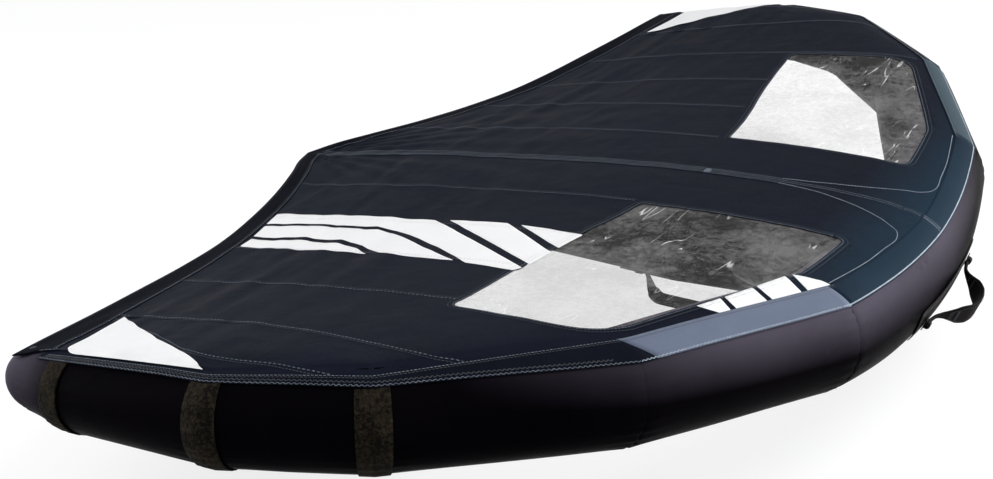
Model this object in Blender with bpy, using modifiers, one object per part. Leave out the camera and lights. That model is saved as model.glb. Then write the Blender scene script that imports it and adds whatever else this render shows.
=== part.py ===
# Wingfoil wing: an inflated leading edge tube and strut, a sewn canopy with two
# windows, scuff bands, webbing handles, a valve, a connecting hose and a zip.
#
# Metres, +Z up, +X to one wing tip, -Y to the nose. Every piece is first drawn with
# the trailing edge centre at zero. One empty then stands the wing on the plane z = 0
# with its box centred over the origin.

import math

import bpy
import bmesh
from mathutils import Matrix, Vector

# Plan and arch of the wing
HALF_SPAN = 1.120        # centre plane to the tube's centre line at its widest joint
CHORD_LENGTH = 1.360            # trailing edge centre to the front seam of the canopy
ARCH_RISE = 0.095        # lift of the tube's centre line from the nose to its highest joint
NOSE_HEIGHT = 0.0225     # tube centre at the nose above the trailing edge centre
NOSE_RADIUS = 0.101      # radius of the leading edge tube at the nose
CAMBER_HEIGHT = 0.041           # height of the canopy's curve over its straight chord, at the centre

# Joints of the leading edge tube from the nose to the tip, as shares of the sizes above
JOINT_X_SHARES = (0.0, 0.3586, 0.6974, 0.9249, 1.0, 0.9899, 0.9865)
JOINT_Y_SHARES = (-0.9481, -0.9261, -0.8138, -0.6510, -0.5205, -0.3233, -0.2620)
JOINT_Z_SHARES = (0.0, 0.285, 0.769, 1.0, 0.911, 0.481, 0.420)
JOINT_RADIUS_SHARES = (1.0, 0.907, 0.809, 0.7335, 0.6595, 0.5787, 0.4576)
BULGE_SHARE = 0.012
TIP_END_SHARES = ((0.22, 0.82), (0.38, 0.52), (0.46, 0.20))
TIP_RISE_SHARE = 0.45

# Where the canopy is sewn on, as an angle round the tube: 0 is aft, 90 up, 180 forward
FRONT_SEAM_DEGREES = (135.0, 133.0, 130.0, 122.0, 113.0, 115.0, 116.0)
INNER_SEAM_DEGREES = (112.0, 106.0, 100.0, 108.0, 101.0, 104.0, 106.0)
TOP_DEGREES = 92.0

# Trailing edge, as shares of half span, chord and arch rise
TRAILING_X_SHARES = (0.0, 0.061, 0.1215, 0.243, 0.364, 0.486, 0.607, 0.729, 0.85, 0.972, 1.014)
TRAILING_Y_SHARES = (0.0, -0.0205, -0.047, -0.09, -0.125, -0.156, -0.179, -0.2, -0.222, -0.243, -0.25)
TRAILING_Z_SHARES = (0.0, 0.072, 0.129, 0.179, 0.236, 0.337, 0.48, 0.66, 0.86, 1.07, 1.13)

# Ribs of the canopy from the centre to the tip: where each meets the tube, counted in
# joints, where it meets the trailing edge, and how much camber it has
RIB_JOINTS = (0.0, 0.5, 1.0, 1.5, 2.0, 3.0, 4.0, 5.0, 5.6)
RIB_TRAILING_SHARES = (0.0, 0.182, 0.3595, 0.5076, 0.674, 0.8865, 0.953, 0.992, 1.0115)
RIB_CAMBER_SHARES = (1.0, 0.92, 0.83, 0.71, 0.58, 0.40, 0.27, 0.12, 0.02)
RIB_STEP_SHARE = 0.25
CENTRE_SEAM_JOINT = 0.5
WINDOW_SEAM_JOINT = 2.0
TIP_SEAM_JOINT = 3.0
LAST_RIB_JOINT = 5.6
CAMBER_FRONT_POWER = 0.75
CAMBER_REAR_POWER = 1.15
WINDOW_FRONT_SHARE = 0.03
WINDOW_REAR_SHARE = 0.35
TRAILING_BAND_WIDTH = 0.024

# Cloth and seams
SLEEVE_WALL = 0.0010
BLADDER_WALL = 0.0008
BLADDER_INSET = 0.0040   # inside the sleeve, so that its longer facets stay clear
BLADDER_SIDES = 12
BLADDER_END_SHARE = 0.01
CLOTH_THICKNESS = 0.0012
SEAM_GAP = 0.0003
HEM_GAP = 0.0009         # wider, because the hem runs slantwise to the ribs at the tips
LAP_GAP = 0.0005         # between the tube and a cloth that lies on it
TUBE_SIDES = 24
WELD_DISTANCE = 0.000001
THIN_EDGE_LENGTH = 0.0000001

# Strut under the centre of the canopy, from its front end to its tail
STRUT_RADIUS = 0.079
STRUT_Y_SHARES = (-0.880, -0.800, -0.650, -0.450, -0.250, -0.080, -0.020)
STRUT_Z_SHARES = (0.004, -0.006, -0.013, -0.017, -0.021, -0.028, -0.031)
STRUT_RADIUS_SHARES = (0.86, 0.957, 1.0, 0.914, 0.759, 0.586, 0.517)
STRUT_TAIL_LENGTH = 0.030
WEB_THICKNESS = 0.0030
WEB_FRONT_SHARE = 0.78

# Scuff bands over the three outer joints of each half
SCUFF_WIDTH = 0.038
SCUFF_THICKNESS = 0.0015
SCUFF_JOINTS = (3, 4, 5)
SCUFF_FROM_DEGREES = (135.0, 120.0, 120.0)
SCUFF_TO_DEGREES = 330.0

# Front handle on the nose
FRONT_HANDLE_HALF = 0.150
FRONT_HANDLE_REACH = 0.053
FRONT_HANDLE_DEGREES = 200.0
# Across in shares of the half length and in rolled ends, then the shares of full reach, width and thickness
FRONT_HANDLE_SHARES = (
    (1.000, 0.50, 0.00, 0.00, 0.00),
    (1.000, -0.40, 0.00, 0.00, 0.00),
    (1.000, -0.75, 0.08, 0.09, 0.40),
    (1.000, -1.30, 0.30, 0.63, 1.00),
    (0.500, 0.00, 0.58, 1.00, 1.00),
    (0.240, 0.00, 0.82, 1.00, 1.00),
    (0.120, 0.00, 0.96, 1.00, 1.00),
    (0.055, 0.00, 1.00, 1.00, 1.00),
)
WEBBING_WIDTH = 0.025
WEBBING_THICKNESS = 0.0040
HANDLE_TAIL_WIDTH = 0.0080   # of the rolled webbing that turns at each end of a handle
HANDLE_TAIL_LENGTH = 0.022
HANDLE_CLEARANCE = 0.0007
KEEPER_FIT_SHARE = 0.55  # of the rolled end: how far its corners reach from its middle
FRONT_PATCH_HALF = 0.182
FRONT_PATCH_DEGREES = 17.0
PATCH_THICKNESS = 0.0015

# Strut handles
STRUT_HANDLE_CENTRE_SHARES = (-0.680, -0.330)
STRUT_HANDLE_LENGTH = 0.250
STRUT_HANDLE_DEPTH = 0.050
GRIP_WIDTH = 0.034
GRIP_THICKNESS = 0.016
STRAP_CORNER_SHARE = 0.29
# Along in rolled ends, then the shares of full depth, full width and full thickness there
STRUT_HANDLE_SHARES = (
    (-0.50, 0.00, 0.00, 0.00),
    (0.45, 0.00, 0.00, 0.00),
    (0.80, 0.10, 0.06, 0.00),
    (1.05, 0.40, 0.50, 0.40),
    (1.35, 0.72, 0.90, 1.00),
    (1.85, 0.94, 1.00, 1.00),
    (2.60, 1.00, 1.00, 1.00),
)
STRUT_PATCH_DEGREES = 30.0
STRUT_PATCH_OVERRUN = 0.030
KEEPER_LENGTH = 0.014
KEEPER_FLANGE_WIDTH = 0.0060
KEEPER_THICKNESS = 0.0015

# Inflation valve on the aft side of the nose tube
VALVE_JOINT = 0.52
VALVE_DEGREES = 322.0
VALVE_FLANGE_RADIUS = 0.022
VALVE_FLANGE_THICKNESS = 0.0027
VALVE_NECK_RADIUS = 0.0150
VALVE_NECK_HEIGHT = 0.0140
VALVE_BORE_RADIUS = 0.0090
VALVE_SPIGOT_RADIUS = 0.0115
VALVE_SPIGOT_DEPTH = 0.0060
VALVE_HOLE_CLEARANCE = 0.0005
VALVE_LIP_WIDTH = 0.0016
PLUNGER_CLEARANCE = 0.0005
PLUNGER_THICKNESS = 0.0016
PLUNGER_STEM_RADIUS = 0.0020
PLUNGER_STEM_HEIGHT = 0.0065
PLUNGER_TRAVEL = 0.0035
SEAT_HEIGHT = 0.0016
SEAT_THICKNESS = 0.0012
GUIDE_HEIGHT = 0.0042
GUIDE_THICKNESS = 0.0014
GUIDE_WIDTH = 0.0070
CAP_THICKNESS = 0.0030
CAP_OVERHANG = 0.0020
CAP_EAR_LENGTH = 0.0070
CAP_EAR_RADIUS = 0.0030

# Hose between the tube and the strut, with its clip
HOSE_RADIUS = 0.0075
HOSE_WALL = 0.0015
HOSE_STRAIGHT_LENGTH = 0.0100
HOSE_STEPS = 12
HOSE_SIDES = 12
HOSE_FROM_JOINT = 0.24
HOSE_FROM_DEGREES = 335.0
HOSE_TO_SHARE = -0.755
HOSE_REACH = 0.055
COLLAR_RADIUS = 0.0150
COLLAR_HEIGHT = 0.0060
PORT_DEPTH = 0.0180
CLIP_LENGTH = 0.0120
CLIP_WALL = 0.0025
CLIP_ARM_LENGTH = 0.0060
CLIP_LEVER_THICKNESS = 0.0025
CLIP_LEVER_LENGTH = 0.0300
CLIP_OPEN_DEGREES = 70.0

# Zip on the underside of one leading edge panel
ZIP_FROM_JOINT = 1.18
ZIP_TO_JOINT = 1.84
ZIP_DEGREES = 285.0
ZIP_WIDTH = 0.024
ZIP_THICKNESS = 0.0012
SLIDER_LENGTH = 0.014
SLIDER_WIDTH = 0.009
SLIDER_HEIGHT = 0.0035

COLOURS = {
    "sleeve": ((0.020, 0.018, 0.026), 0.42, 0.0),
    "canopy": ((0.012, 0.016, 0.034), 0.55, 0.0),
    "load_band": ((0.085, 0.115, 0.180), 0.45, 0.0),
    "hem": ((0.010, 0.011, 0.016), 0.60, 0.0),
    "film": ((0.80, 0.82, 0.84), 0.10, 0.0),
    "bladder": ((0.62, 0.66, 0.68), 0.30, 0.0),
    "scuff": ((0.035, 0.026, 0.016), 0.85, 0.0),
    "webbing": ((0.012, 0.012, 0.013), 0.80, 0.0),
    "grip": ((0.020, 0.020, 0.022), 0.90, 0.0),
    "plastic": ((0.030, 0.030, 0.032), 0.35, 0.0),
    "hose": ((0.050, 0.050, 0.055), 0.40, 0.0),
    "silicone": ((0.25, 0.26, 0.28), 0.50, 0.0),
}

UP = Vector((0.0, 0.0, 1.0))
ACROSS = Vector((1.0, 0.0, 0.0))
AFT = Vector((0.0, 1.0, 0.0))


# Scene and materials

def clear_scene():
    for item in list(bpy.data.objects):
        bpy.data.objects.remove(item, do_unlink=True)


def new_collection(name):
    collection = bpy.data.collections.new(name)
    bpy.context.scene.collection.children.link(collection)
    return collection


def material(name):
    found = bpy.data.materials.get(name)
    if found:
        return found
    colour, roughness, metallic = COLOURS[name]
    made = bpy.data.materials.new(name)
    made.use_nodes = True
    shader = made.node_tree.nodes["Principled BSDF"]
    shader.inputs["Base Color"].default_value = (*colour, 1.0)
    shader.inputs["Roughness"].default_value = roughness
    shader.inputs["Metallic"].default_value = metallic
    return made


def add_object(name, mesh, finish, collection, origin=None):
    """Link a mesh as an object whose origin is moved to the given point."""
    origin = origin or Vector()
    mesh.transform(Matrix.Translation(-origin))
    mesh.materials.append(material(finish))
    item = bpy.data.objects.new(name, mesh)
    item.location = origin
    collection.objects.link(item)
    mesh.shade_smooth()
    mesh.set_sharp_from_angle(angle=math.radians(35.0))
    return item


def mesh_from(name, points, faces):
    mesh = bpy.data.meshes.new(name)
    mesh.from_pydata([tuple(point) for point in points], [], faces)
    shape = bmesh.new()
    shape.from_mesh(mesh)
    bmesh.ops.recalc_face_normals(shape, faces=shape.faces)
    shape.to_mesh(mesh)
    shape.free()
    return mesh


def thicken(item, thickness, offset):
    wall = item.modifiers.new("wall", "SOLIDIFY")
    wall.thickness = thickness
    wall.offset = offset
    wall.use_even_offset = True
    wall.use_quality_normals = True


def cut(item, cutter, operation="DIFFERENCE"):
    cutter.hide_render = True
    cutter.display_type = "WIRE"
    hole = item.modifiers.new("cut", "BOOLEAN")
    hole.operation = operation
    hole.solver = "EXACT"
    hole.object = cutter


# Tables read between their entries

def read_table(values, place):
    index = max(0, min(int(place), len(values) - 2))
    part = place - index
    return values[index] * (1.0 - part) + values[index + 1] * part


def read_smooth(keys, values, key):
    """A smooth curve through a table, by cubic pieces with averaged slopes."""
    index = 0
    while index < len(keys) - 2 and key > keys[index + 1]:
        index += 1
    slopes = [(values[i + 1] - values[i]) / (keys[i + 1] - keys[i]) for i in range(len(keys) - 1)]
    before = slopes[max(0, index - 1)]
    here = slopes[index]
    after = slopes[min(len(slopes) - 1, index + 1)]
    width = keys[index + 1] - keys[index]
    part = (key - keys[index]) / width
    start = 0.5 * (before + here) * width
    end = 0.5 * (here + after) * width
    a, b = values[index], values[index + 1]
    return (
        a * (2 * part ** 3 - 3 * part ** 2 + 1)
        + start * (part ** 3 - 2 * part ** 2 + part)
        + b * (3 * part ** 2 - 2 * part ** 3)
        + end * (part ** 3 - part ** 2)
    )


# The leading edge tube

def joint_point(index):
    return Vector((
        JOINT_X_SHARES[index] * HALF_SPAN,
        JOINT_Y_SHARES[index] * CHORD_LENGTH,
        NOSE_HEIGHT + JOINT_Z_SHARES[index] * ARCH_RISE,
    ))


def tube_centre(place):
    """Centre of the tube and its radius at a place counted in joints from the nose."""
    index = max(0, min(int(place), len(JOINT_X_SHARES) - 2))
    part = place - index
    bow = part * part if index == 0 else part
    near, far = joint_point(index), joint_point(index + 1)
    centre = near.lerp(far, bow)
    centre.x = near.x * (1.0 - part) + far.x * part
    share = JOINT_RADIUS_SHARES[index] * (1.0 - bow) + JOINT_RADIUS_SHARES[index + 1] * bow
    bulge = 0.0 if index == 0 else 4.0 * BULGE_SHARE * part * (1.0 - part)
    return centre, NOSE_RADIUS * share * (1.0 + bulge)


def run_direction(index, part):
    run = joint_point(index + 1) - joint_point(index)
    if index == 0:
        return Vector((run.x, 2.0 * run.y * part, 2.0 * run.z * part)).normalized()
    return run.normalized()


def tube_direction(place):
    """Direction of the tube, turned half way at each mitred joint."""
    last = len(JOINT_X_SHARES) - 2
    index = max(0, min(int(place), last))
    part = place - index
    here = run_direction(index, part)
    blend_share = 0.25
    if index > 0 and part < blend_share:
        before = run_direction(index - 1, 1.0)
        turn = 0.5 * (1.0 - part / blend_share)
        return here.lerp(before, turn).normalized()
    if 0 < index + 1 <= last and part > 1.0 - blend_share:
        after = run_direction(index + 1, 0.0)
        turn = 0.5 * (1.0 - (1.0 - part) / blend_share)
        return here.lerp(after, turn).normalized()
    return here


def tube_point(place, degrees, lift=0.0, side=1):
    """A point round the tube, lifted off its surface, on either half of the wing."""
    centre, radius = tube_centre(place)
    along = tube_direction(place)
    outward = along.cross(UP).normalized()
    upward = outward.cross(along)
    angle = math.radians(degrees)
    reach = radius + lift
    point = centre - outward * (reach * math.cos(angle)) + upward * (reach * math.sin(angle))
    point.x *= side
    return point


def signed_tube_point(place, degrees, lift):
    return tube_point(abs(place), degrees, lift, 1 if place >= 0 else -1)


def ring_degrees(count):
    return [360.0 * step / count for step in range(count)]


def grid_faces(rows, columns, wrap=False):
    faces = []
    for row in range(rows - 1):
        for column in range(columns if wrap else columns - 1):
            right = (column + 1) % columns
            faces.append((
                row * columns + column,
                row * columns + right,
                (row + 1) * columns + right,
                (row + 1) * columns + column,
            ))
    return faces


def steps(first, last, count):
    return [first + (last - first) * step / count for step in range(count + 1)]


def joint_step(index):
    """How far one metre along a tube panel goes, counted in joints."""
    return 1.0 / (joint_point(index + 1) - joint_point(index)).length


def panel_places(index):
    """Ring places of one tube panel, kept half a seam gap clear of its joints."""
    trim = 0.5 * SEAM_GAP * joint_step(index)
    return [index + trim, index + 0.25, index + 0.5, index + 0.75, index + 1.0 - trim]


def centre_places():
    trim = 0.5 * SEAM_GAP * joint_step(0)
    half = [0.0, 0.25, 0.5, 0.75, 1.0 - trim]
    return [-place for place in reversed(half[1:])] + half


def tube_rings(places, lift, side):
    points = []
    for place in places:
        for degrees in ring_degrees(TUBE_SIDES):
            point = signed_tube_point(place, degrees, lift)
            point.x *= side
            points.append(point)
    return points


def mitred_panel(name, places, collection, side=1):
    """An open sleeve whose wall ends in the plane of each mitred joint."""
    outer = tube_rings(places, 0.0, side)
    inner = tube_rings(places, -SLEEVE_WALL, side)
    rows = len(places)
    total = rows * TUBE_SIDES
    skin = grid_faces(rows, TUBE_SIDES, wrap=True)
    faces = list(skin)
    faces += [tuple(total + corner for corner in reversed(face)) for face in skin]
    for start in (0, total - TUBE_SIDES):
        for column in range(TUBE_SIDES):
            near = start + column
            far = start + (column + 1) % TUBE_SIDES
            faces.append((near, far, total + far, total + near))
    return add_object(name, mesh_from(name, outer + inner, faces), "sleeve", collection)


def tip_cone(name, places, collection, side):
    points = tube_rings(places, 0.0, side)
    rows = len(places)
    centre, radius = tube_centre(places[-1])
    along = tube_direction(places[-1])
    outward = along.cross(UP).normalized()
    upward = outward.cross(along)
    for run_share, radius_share in TIP_END_SHARES:
        reach = radius * radius_share
        middle = centre + along * (2.0 * radius * run_share) + UP * (TIP_RISE_SHARE * (radius - reach))
        for degrees in ring_degrees(TUBE_SIDES):
            angle = math.radians(degrees)
            point = middle - outward * (reach * math.cos(angle)) + upward * (reach * math.sin(angle))
            point.x *= side
            points.append(point)
        rows += 1
    faces = grid_faces(rows, TUBE_SIDES, wrap=True)
    faces.append(tuple(range((rows - 1) * TUBE_SIDES, rows * TUBE_SIDES)))
    item = add_object(name, mesh_from(name, points, faces), "sleeve", collection)
    thicken(item, SLEEVE_WALL, -1.0)
    return item


def closed_skin(shape, rings, inward):
    """Add a closed run of rings to a bmesh, its faces turned outward or inward."""
    sides = len(rings[0])
    corners = [shape.verts.new(point) for ring in rings for point in ring]
    loops = grid_faces(len(rings), sides, wrap=True)
    loops += [tuple(range(sides)), tuple(range((len(rings) - 1) * sides, len(rings) * sides))]
    made = [shape.faces.new([corners[corner] for corner in loop]) for loop in loops]
    bmesh.ops.recalc_face_normals(shape, faces=made)
    if inward:
        bmesh.ops.reverse_faces(shape, faces=made)


def bladder_object(name, outer, inner, collection):
    """A thin closed bladder. Its ports are cut through the wall afterwards."""
    shape = bmesh.new()
    closed_skin(shape, outer, False)
    closed_skin(shape, inner, True)
    mesh = bpy.data.meshes.new(name)
    shape.to_mesh(mesh)
    shape.free()
    return add_object(name, mesh, "bladder", collection)


def leading_edge_bladder(collection):
    places = [0.5 * half for half in range(-11, 12)]
    inner_places = [place * (1.0 - BLADDER_END_SHARE) for place in places]
    inner_places[1:-1] = places[1:-1]
    turns = ring_degrees(BLADDER_SIDES)
    outer = [[signed_tube_point(place, turn, -BLADDER_INSET) for turn in turns] for place in places]
    deep = -BLADDER_INSET - BLADDER_WALL
    inner = [[signed_tube_point(place, turn, deep) for turn in turns] for place in inner_places]
    return bladder_object("leading_edge_bladder", outer, inner, collection)


# The canopy

def trailing_point(share):
    return Vector((
        share * HALF_SPAN,
        read_smooth(TRAILING_X_SHARES, TRAILING_Y_SHARES, share) * CHORD_LENGTH,
        read_smooth(TRAILING_X_SHARES, TRAILING_Z_SHARES, share) * ARCH_RISE,
    ))


def camber_shape(share):
    peak = CAMBER_FRONT_POWER / (CAMBER_FRONT_POWER + CAMBER_REAR_POWER)
    scale = peak ** CAMBER_FRONT_POWER * (1.0 - peak) ** CAMBER_REAR_POWER
    return share ** CAMBER_FRONT_POWER * (1.0 - share) ** CAMBER_REAR_POWER / scale


def trailing_share(rib):
    return read_smooth(RIB_JOINTS, RIB_TRAILING_SHARES, rib)


def rib_chord(rib):
    front = tube_point(rib, TOP_DEGREES, LAP_GAP)
    return (trailing_point(trailing_share(rib)) - front).length


def canopy_point(rib, share, side=1):
    """A point of the canopy's middle surface. Below zero it still lies on the tube."""
    lift = LAP_GAP + 0.5 * CLOTH_THICKNESS
    if share <= 0.0:
        inner = read_table(INNER_SEAM_DEGREES, rib)
        trim = math.degrees(SEAM_GAP / tube_centre(rib)[1])
        degrees = TOP_DEGREES + (inner - trim - TOP_DEGREES) * -share
        return tube_point(rib, degrees, lift, side)
    front = tube_point(rib, TOP_DEGREES, lift)
    rear = trailing_point(trailing_share(rib))
    point = front.lerp(rear, share)
    point.z += CAMBER_HEIGHT * read_smooth(RIB_JOINTS, RIB_CAMBER_SHARES, rib) * camber_shape(share)
    point.x *= side
    return point


def rib_trim(rib):
    """Half a seam gap, counted in joints, where the ribs lie closest together."""
    near, far = max(0.0, rib - RIB_STEP_SHARE), min(LAST_RIB_JOINT, rib + RIB_STEP_SHARE)
    rear = (trailing_share(far) - trailing_share(near)) * HALF_SPAN
    front = (tube_centre(far)[0] - tube_centre(near)[0]).length
    return 0.5 * SEAM_GAP * (far - near) / min(rear, front)


def cloth_sheet(name, ribs, share_rows, finish, collection, side, thickness=CLOTH_THICKNESS):
    """A sewn sheet on the canopy. share_rows gives each rib its own run of shares."""
    points = [canopy_point(rib, share, side) for rib, row in zip(ribs, share_rows) for share in row]
    faces = grid_faces(len(ribs), len(share_rows[0]))
    item = add_object(name, mesh_from(name, points, faces), finish, collection)
    thicken(item, thickness, 0.0)
    return item


def hem_share(rib, extra=0.0):
    chord = rib_chord(rib)
    return 1.0 - min(0.5, TRAILING_BAND_WIDTH / chord) - extra / chord


def rib_run(first, last, trimmed=True):
    """Ribs a quarter of a joint apart, from one seam to the next."""
    places = []
    place = first
    while place < last - 0.01:
        places.append(place)
        place += RIB_STEP_SHARE
    places.append(last)
    if trimmed:
        places[0] = first + rib_trim(first)
        places[-1] = last - rib_trim(last)
    return places


def chord_rows(ribs, count, front_rows):
    """Runs of shares from the tube's top to the trailing band, closer near the tube."""
    rows = []
    for rib in ribs:
        last = hem_share(rib, HEM_GAP)
        run = [last * (step / count) ** 1.3 for step in range(count + 1)]
        rows.append(list(front_rows) + run)
    return rows


def canopy_side(side, label, collection):
    lap = (-1.0, -0.667, -0.333)
    centre = rib_run(0.0, CENTRE_SEAM_JOINT)
    cloth_sheet("canopy_centre_" + label, centre, chord_rows(centre, 12, lap), "canopy", collection, side)

    window = rib_run(CENTRE_SEAM_JOINT, WINDOW_SEAM_JOINT)
    strip_rows = []
    window_rows = []
    rear_rows = []
    for rib in window:
        trim = 0.5 * SEAM_GAP / rib_chord(rib)
        strip_rows.append([*lap, 0.0, WINDOW_FRONT_SHARE - trim])
        window_rows.append(steps(WINDOW_FRONT_SHARE + trim, WINDOW_REAR_SHARE - trim, 5))
        rear_rows.append(steps(WINDOW_REAR_SHARE + trim, hem_share(rib, HEM_GAP), 7))
    cloth_sheet("canopy_front_strip_" + label, window, strip_rows, "canopy", collection, side)
    cloth_sheet("window_" + label, window, window_rows, "film", collection, side)
    cloth_sheet("canopy_middle_" + label, window, rear_rows, "canopy", collection, side)

    outer = rib_run(WINDOW_SEAM_JOINT, TIP_SEAM_JOINT)
    cloth_sheet("canopy_outer_" + label, outer, chord_rows(outer, 9, lap), "canopy", collection, side)
    tip = rib_run(TIP_SEAM_JOINT, LAST_RIB_JOINT)
    cloth_sheet("canopy_tip_" + label, tip, chord_rows(tip, 7, lap), "canopy", collection, side)


def whole_run():
    """Every rib of one half once, clear of the centre plane by half a seam gap."""
    ribs = rib_run(0.0, LAST_RIB_JOINT, trimmed=False)
    ribs[0] = rib_trim(0.0)
    return ribs


def trailing_band(side, label, collection):
    ribs = whole_run()
    rows = [steps(hem_share(rib), 1.0, 2) for rib in ribs]
    cloth_sheet("trailing_band_" + label, ribs, rows, "hem", collection, side)


def load_band(side, label, collection):
    """The strip that is sewn down along the front seam, over the tube."""
    places = whole_run()
    points = []
    for place in places:
        front = read_table(FRONT_SEAM_DEGREES, place)
        inner = read_table(INNER_SEAM_DEGREES, place)
        for degrees in steps(front, inner, 4):
            points.append(tube_point(place, degrees, LAP_GAP + 0.5 * CLOTH_THICKNESS, side))
    name = "load_band_" + label
    faces = grid_faces(len(places), 5)
    item = add_object(name, mesh_from(name, points, faces), "load_band", collection)
    thicken(item, CLOTH_THICKNESS, 0.0)


def scuff_band(joint, side, label, collection):
    reach_in = 0.5 * SCUFF_WIDTH * joint_step(joint - 1)
    reach_out = 0.5 * SCUFF_WIDTH * joint_step(joint)
    lift = LAP_GAP + 0.5 * SCUFF_THICKNESS
    first = SCUFF_FROM_DEGREES[SCUFF_JOINTS.index(joint)]
    count = round((SCUFF_TO_DEGREES - first) * TUBE_SIDES / 360.0)
    points = []
    for place in (joint - reach_in, joint, joint + reach_out):
        for degrees in steps(first, SCUFF_TO_DEGREES, count):
            points.append(tube_point(place, degrees, lift, side))
    name = "scuff_band_%d_%s" % (joint - 2, label)
    item = add_object(name, mesh_from(name, points, grid_faces(3, count + 1)), "scuff", collection)
    thicken(item, SCUFF_THICKNESS, 0.0)


# The strut

def strut_section(place):
    return (
        read_table(STRUT_Y_SHARES, place) * CHORD_LENGTH,
        read_table(STRUT_Z_SHARES, place) * CHORD_LENGTH,
        read_table(STRUT_RADIUS_SHARES, place) * STRUT_RADIUS,
    )


def strut_place(y):
    """Place along the strut's table of a distance aft."""
    index = 0
    while index < len(STRUT_Y_SHARES) - 2 and y > STRUT_Y_SHARES[index + 1] * CHORD_LENGTH:
        index += 1
    near, far = STRUT_Y_SHARES[index] * CHORD_LENGTH, STRUT_Y_SHARES[index + 1] * CHORD_LENGTH
    return index + (y - near) / (far - near)


def strut_point(place, degrees, lift=0.0):
    y, z, radius = strut_section(place)
    angle = math.radians(degrees)
    reach = radius + lift
    return Vector((reach * math.cos(angle), y, z + reach * math.sin(angle)))


def nose_back(point, clearance):
    """How far aft the nose tube's skin lies at a point's own height and side."""
    place = abs(point.x) / joint_point(1).x
    centre, radius = tube_centre(place)
    reach = radius + clearance
    rise = min(abs(point.z - centre.z), reach)
    return centre.y + math.sqrt(reach * reach - rise * rise)


def strut_sleeve(collection):
    points = []
    for degrees in ring_degrees(TUBE_SIDES):
        front = strut_point(0.0, degrees)
        front.y = nose_back(front, SEAM_GAP + SLEEVE_WALL)
        points.append(front)
    places = (0.5, 1.0, 2.0, 3.0, 4.0, 5.0, 6.0)
    for place in places:
        for degrees in ring_degrees(TUBE_SIDES):
            points.append(strut_point(place, degrees))
    faces = grid_faces(len(places) + 1, TUBE_SIDES, wrap=True)
    item = add_object("strut_sleeve", mesh_from("strut_sleeve", points, faces), "sleeve", collection)
    thicken(item, SLEEVE_WALL, -1.0)
    return item


def strut_bladder(collection):
    places = [0.5, 1.0, 2.0, 3.0, 4.0, 5.0, 5.95]
    inner_places = list(places)
    inner_places[0] += BLADDER_END_SHARE
    inner_places[-1] -= BLADDER_END_SHARE
    turns = ring_degrees(BLADDER_SIDES)
    inset = SLEEVE_WALL + SEAM_GAP
    outer = [[strut_point(place, turn, -inset) for turn in turns] for place in places]
    deep = -inset - BLADDER_WALL
    inner = [[strut_point(place, turn, deep) for turn in turns] for place in inner_places]
    return bladder_object("strut_bladder", outer, inner, collection)


def strut_tail_cap(collection):
    """The reinforced end of the strut, a short dome."""
    y, z, radius = strut_section(6.0)
    points = []
    rounds = 4
    for step in range(rounds):
        turn = 0.5 * math.pi * step / rounds
        reach = radius * math.cos(turn)
        for degrees in ring_degrees(TUBE_SIDES):
            angle = math.radians(degrees)
            points.append(Vector((
                reach * math.cos(angle),
                y + SEAM_GAP + STRUT_TAIL_LENGTH * math.sin(turn),
                z + reach * math.sin(angle),
            )))
    faces = grid_faces(rounds, TUBE_SIDES, wrap=True)
    faces.append(tuple(range(TUBE_SIDES)))
    faces.append(tuple(range((rounds - 1) * TUBE_SIDES, rounds * TUBE_SIDES)))
    add_object("strut_tail_cap", mesh_from("strut_tail_cap", points, faces), "hem", collection)


def canopy_height(y):
    """Height of the canopy's middle surface over the centre plane."""
    front = canopy_point(0.0, 0.0)
    rear = canopy_point(0.0, 1.0)
    share = (y - front.y) / (rear.y - front.y)
    return canopy_point(0.0, min(1.0, max(0.0, share))).z


def strut_web(collection):
    """The cloth wall between the strut and the canopy above it."""
    clearance = SEAM_GAP + 0.5 * CLOTH_THICKNESS
    front = joint_point(0).y + NOSE_RADIUS * WEB_FRONT_SHARE
    places = [strut_place(front)] + [0.5 * half for half in range(1, 13)]
    places = [place for place in places if place >= strut_place(front)]
    points = []
    for place in places:
        y = strut_section(max(0.0, place))[0] if place > 0.0 else front
        top = canopy_height(y) - clearance - SEAM_GAP
        bottom = strut_point(max(0.0, place), 90.0).z + SEAM_GAP
        for height in (bottom, top):
            point = Vector((0.0, y, height))
            point.y = max(y, nose_back(point, 2.0 * SEAM_GAP))
            points.append(point)
    faces = grid_faces(len(places), 2)
    item = add_object("strut_web", mesh_from("strut_web", points, faces), "canopy", collection)
    thicken(item, WEB_THICKNESS, 0.0)


# Handles

def swept_strap(name, path, normal, sizes, finish, collection, origin):
    """An eight-sided section swept along a flat path; normal is square to the path's plane."""
    points = []
    count = len(path)
    for index, point in enumerate(path):
        before = path[max(0, index - 1)]
        after = path[min(count - 1, index + 1)]
        along = (after - before).normalized()
        inner = normal.cross(along).normalized()
        half_width, half_depth = 0.5 * sizes[index][0], 0.5 * sizes[index][1]
        corner = STRAP_CORNER_SHARE * sizes[index][1]
        outline = (
            (half_width, half_depth - corner), (half_width - corner, half_depth),
            (corner - half_width, half_depth), (-half_width, half_depth - corner),
            (-half_width, corner - half_depth), (corner - half_width, -half_depth),
            (half_width - corner, -half_depth), (half_width, corner - half_depth),
        )
        points += [point + normal * across + inner * deep for across, deep in outline]
    sides = 8
    faces = grid_faces(count, sides, wrap=True)
    faces.append(tuple(range(sides)))
    faces.append(tuple(range((count - 1) * sides, count * sides)))
    return add_object(name, mesh_from(name, points, faces), finish, collection, origin)


def arc_points(centre, radius, first, last, count):
    """Points on an arc in a flat frame, given in degrees."""
    found = []
    for degrees in steps(first, last, count):
        angle = math.radians(degrees)
        found.append((centre[0] + radius * math.cos(angle), centre[1] + radius * math.sin(angle)))
    return found


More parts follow.
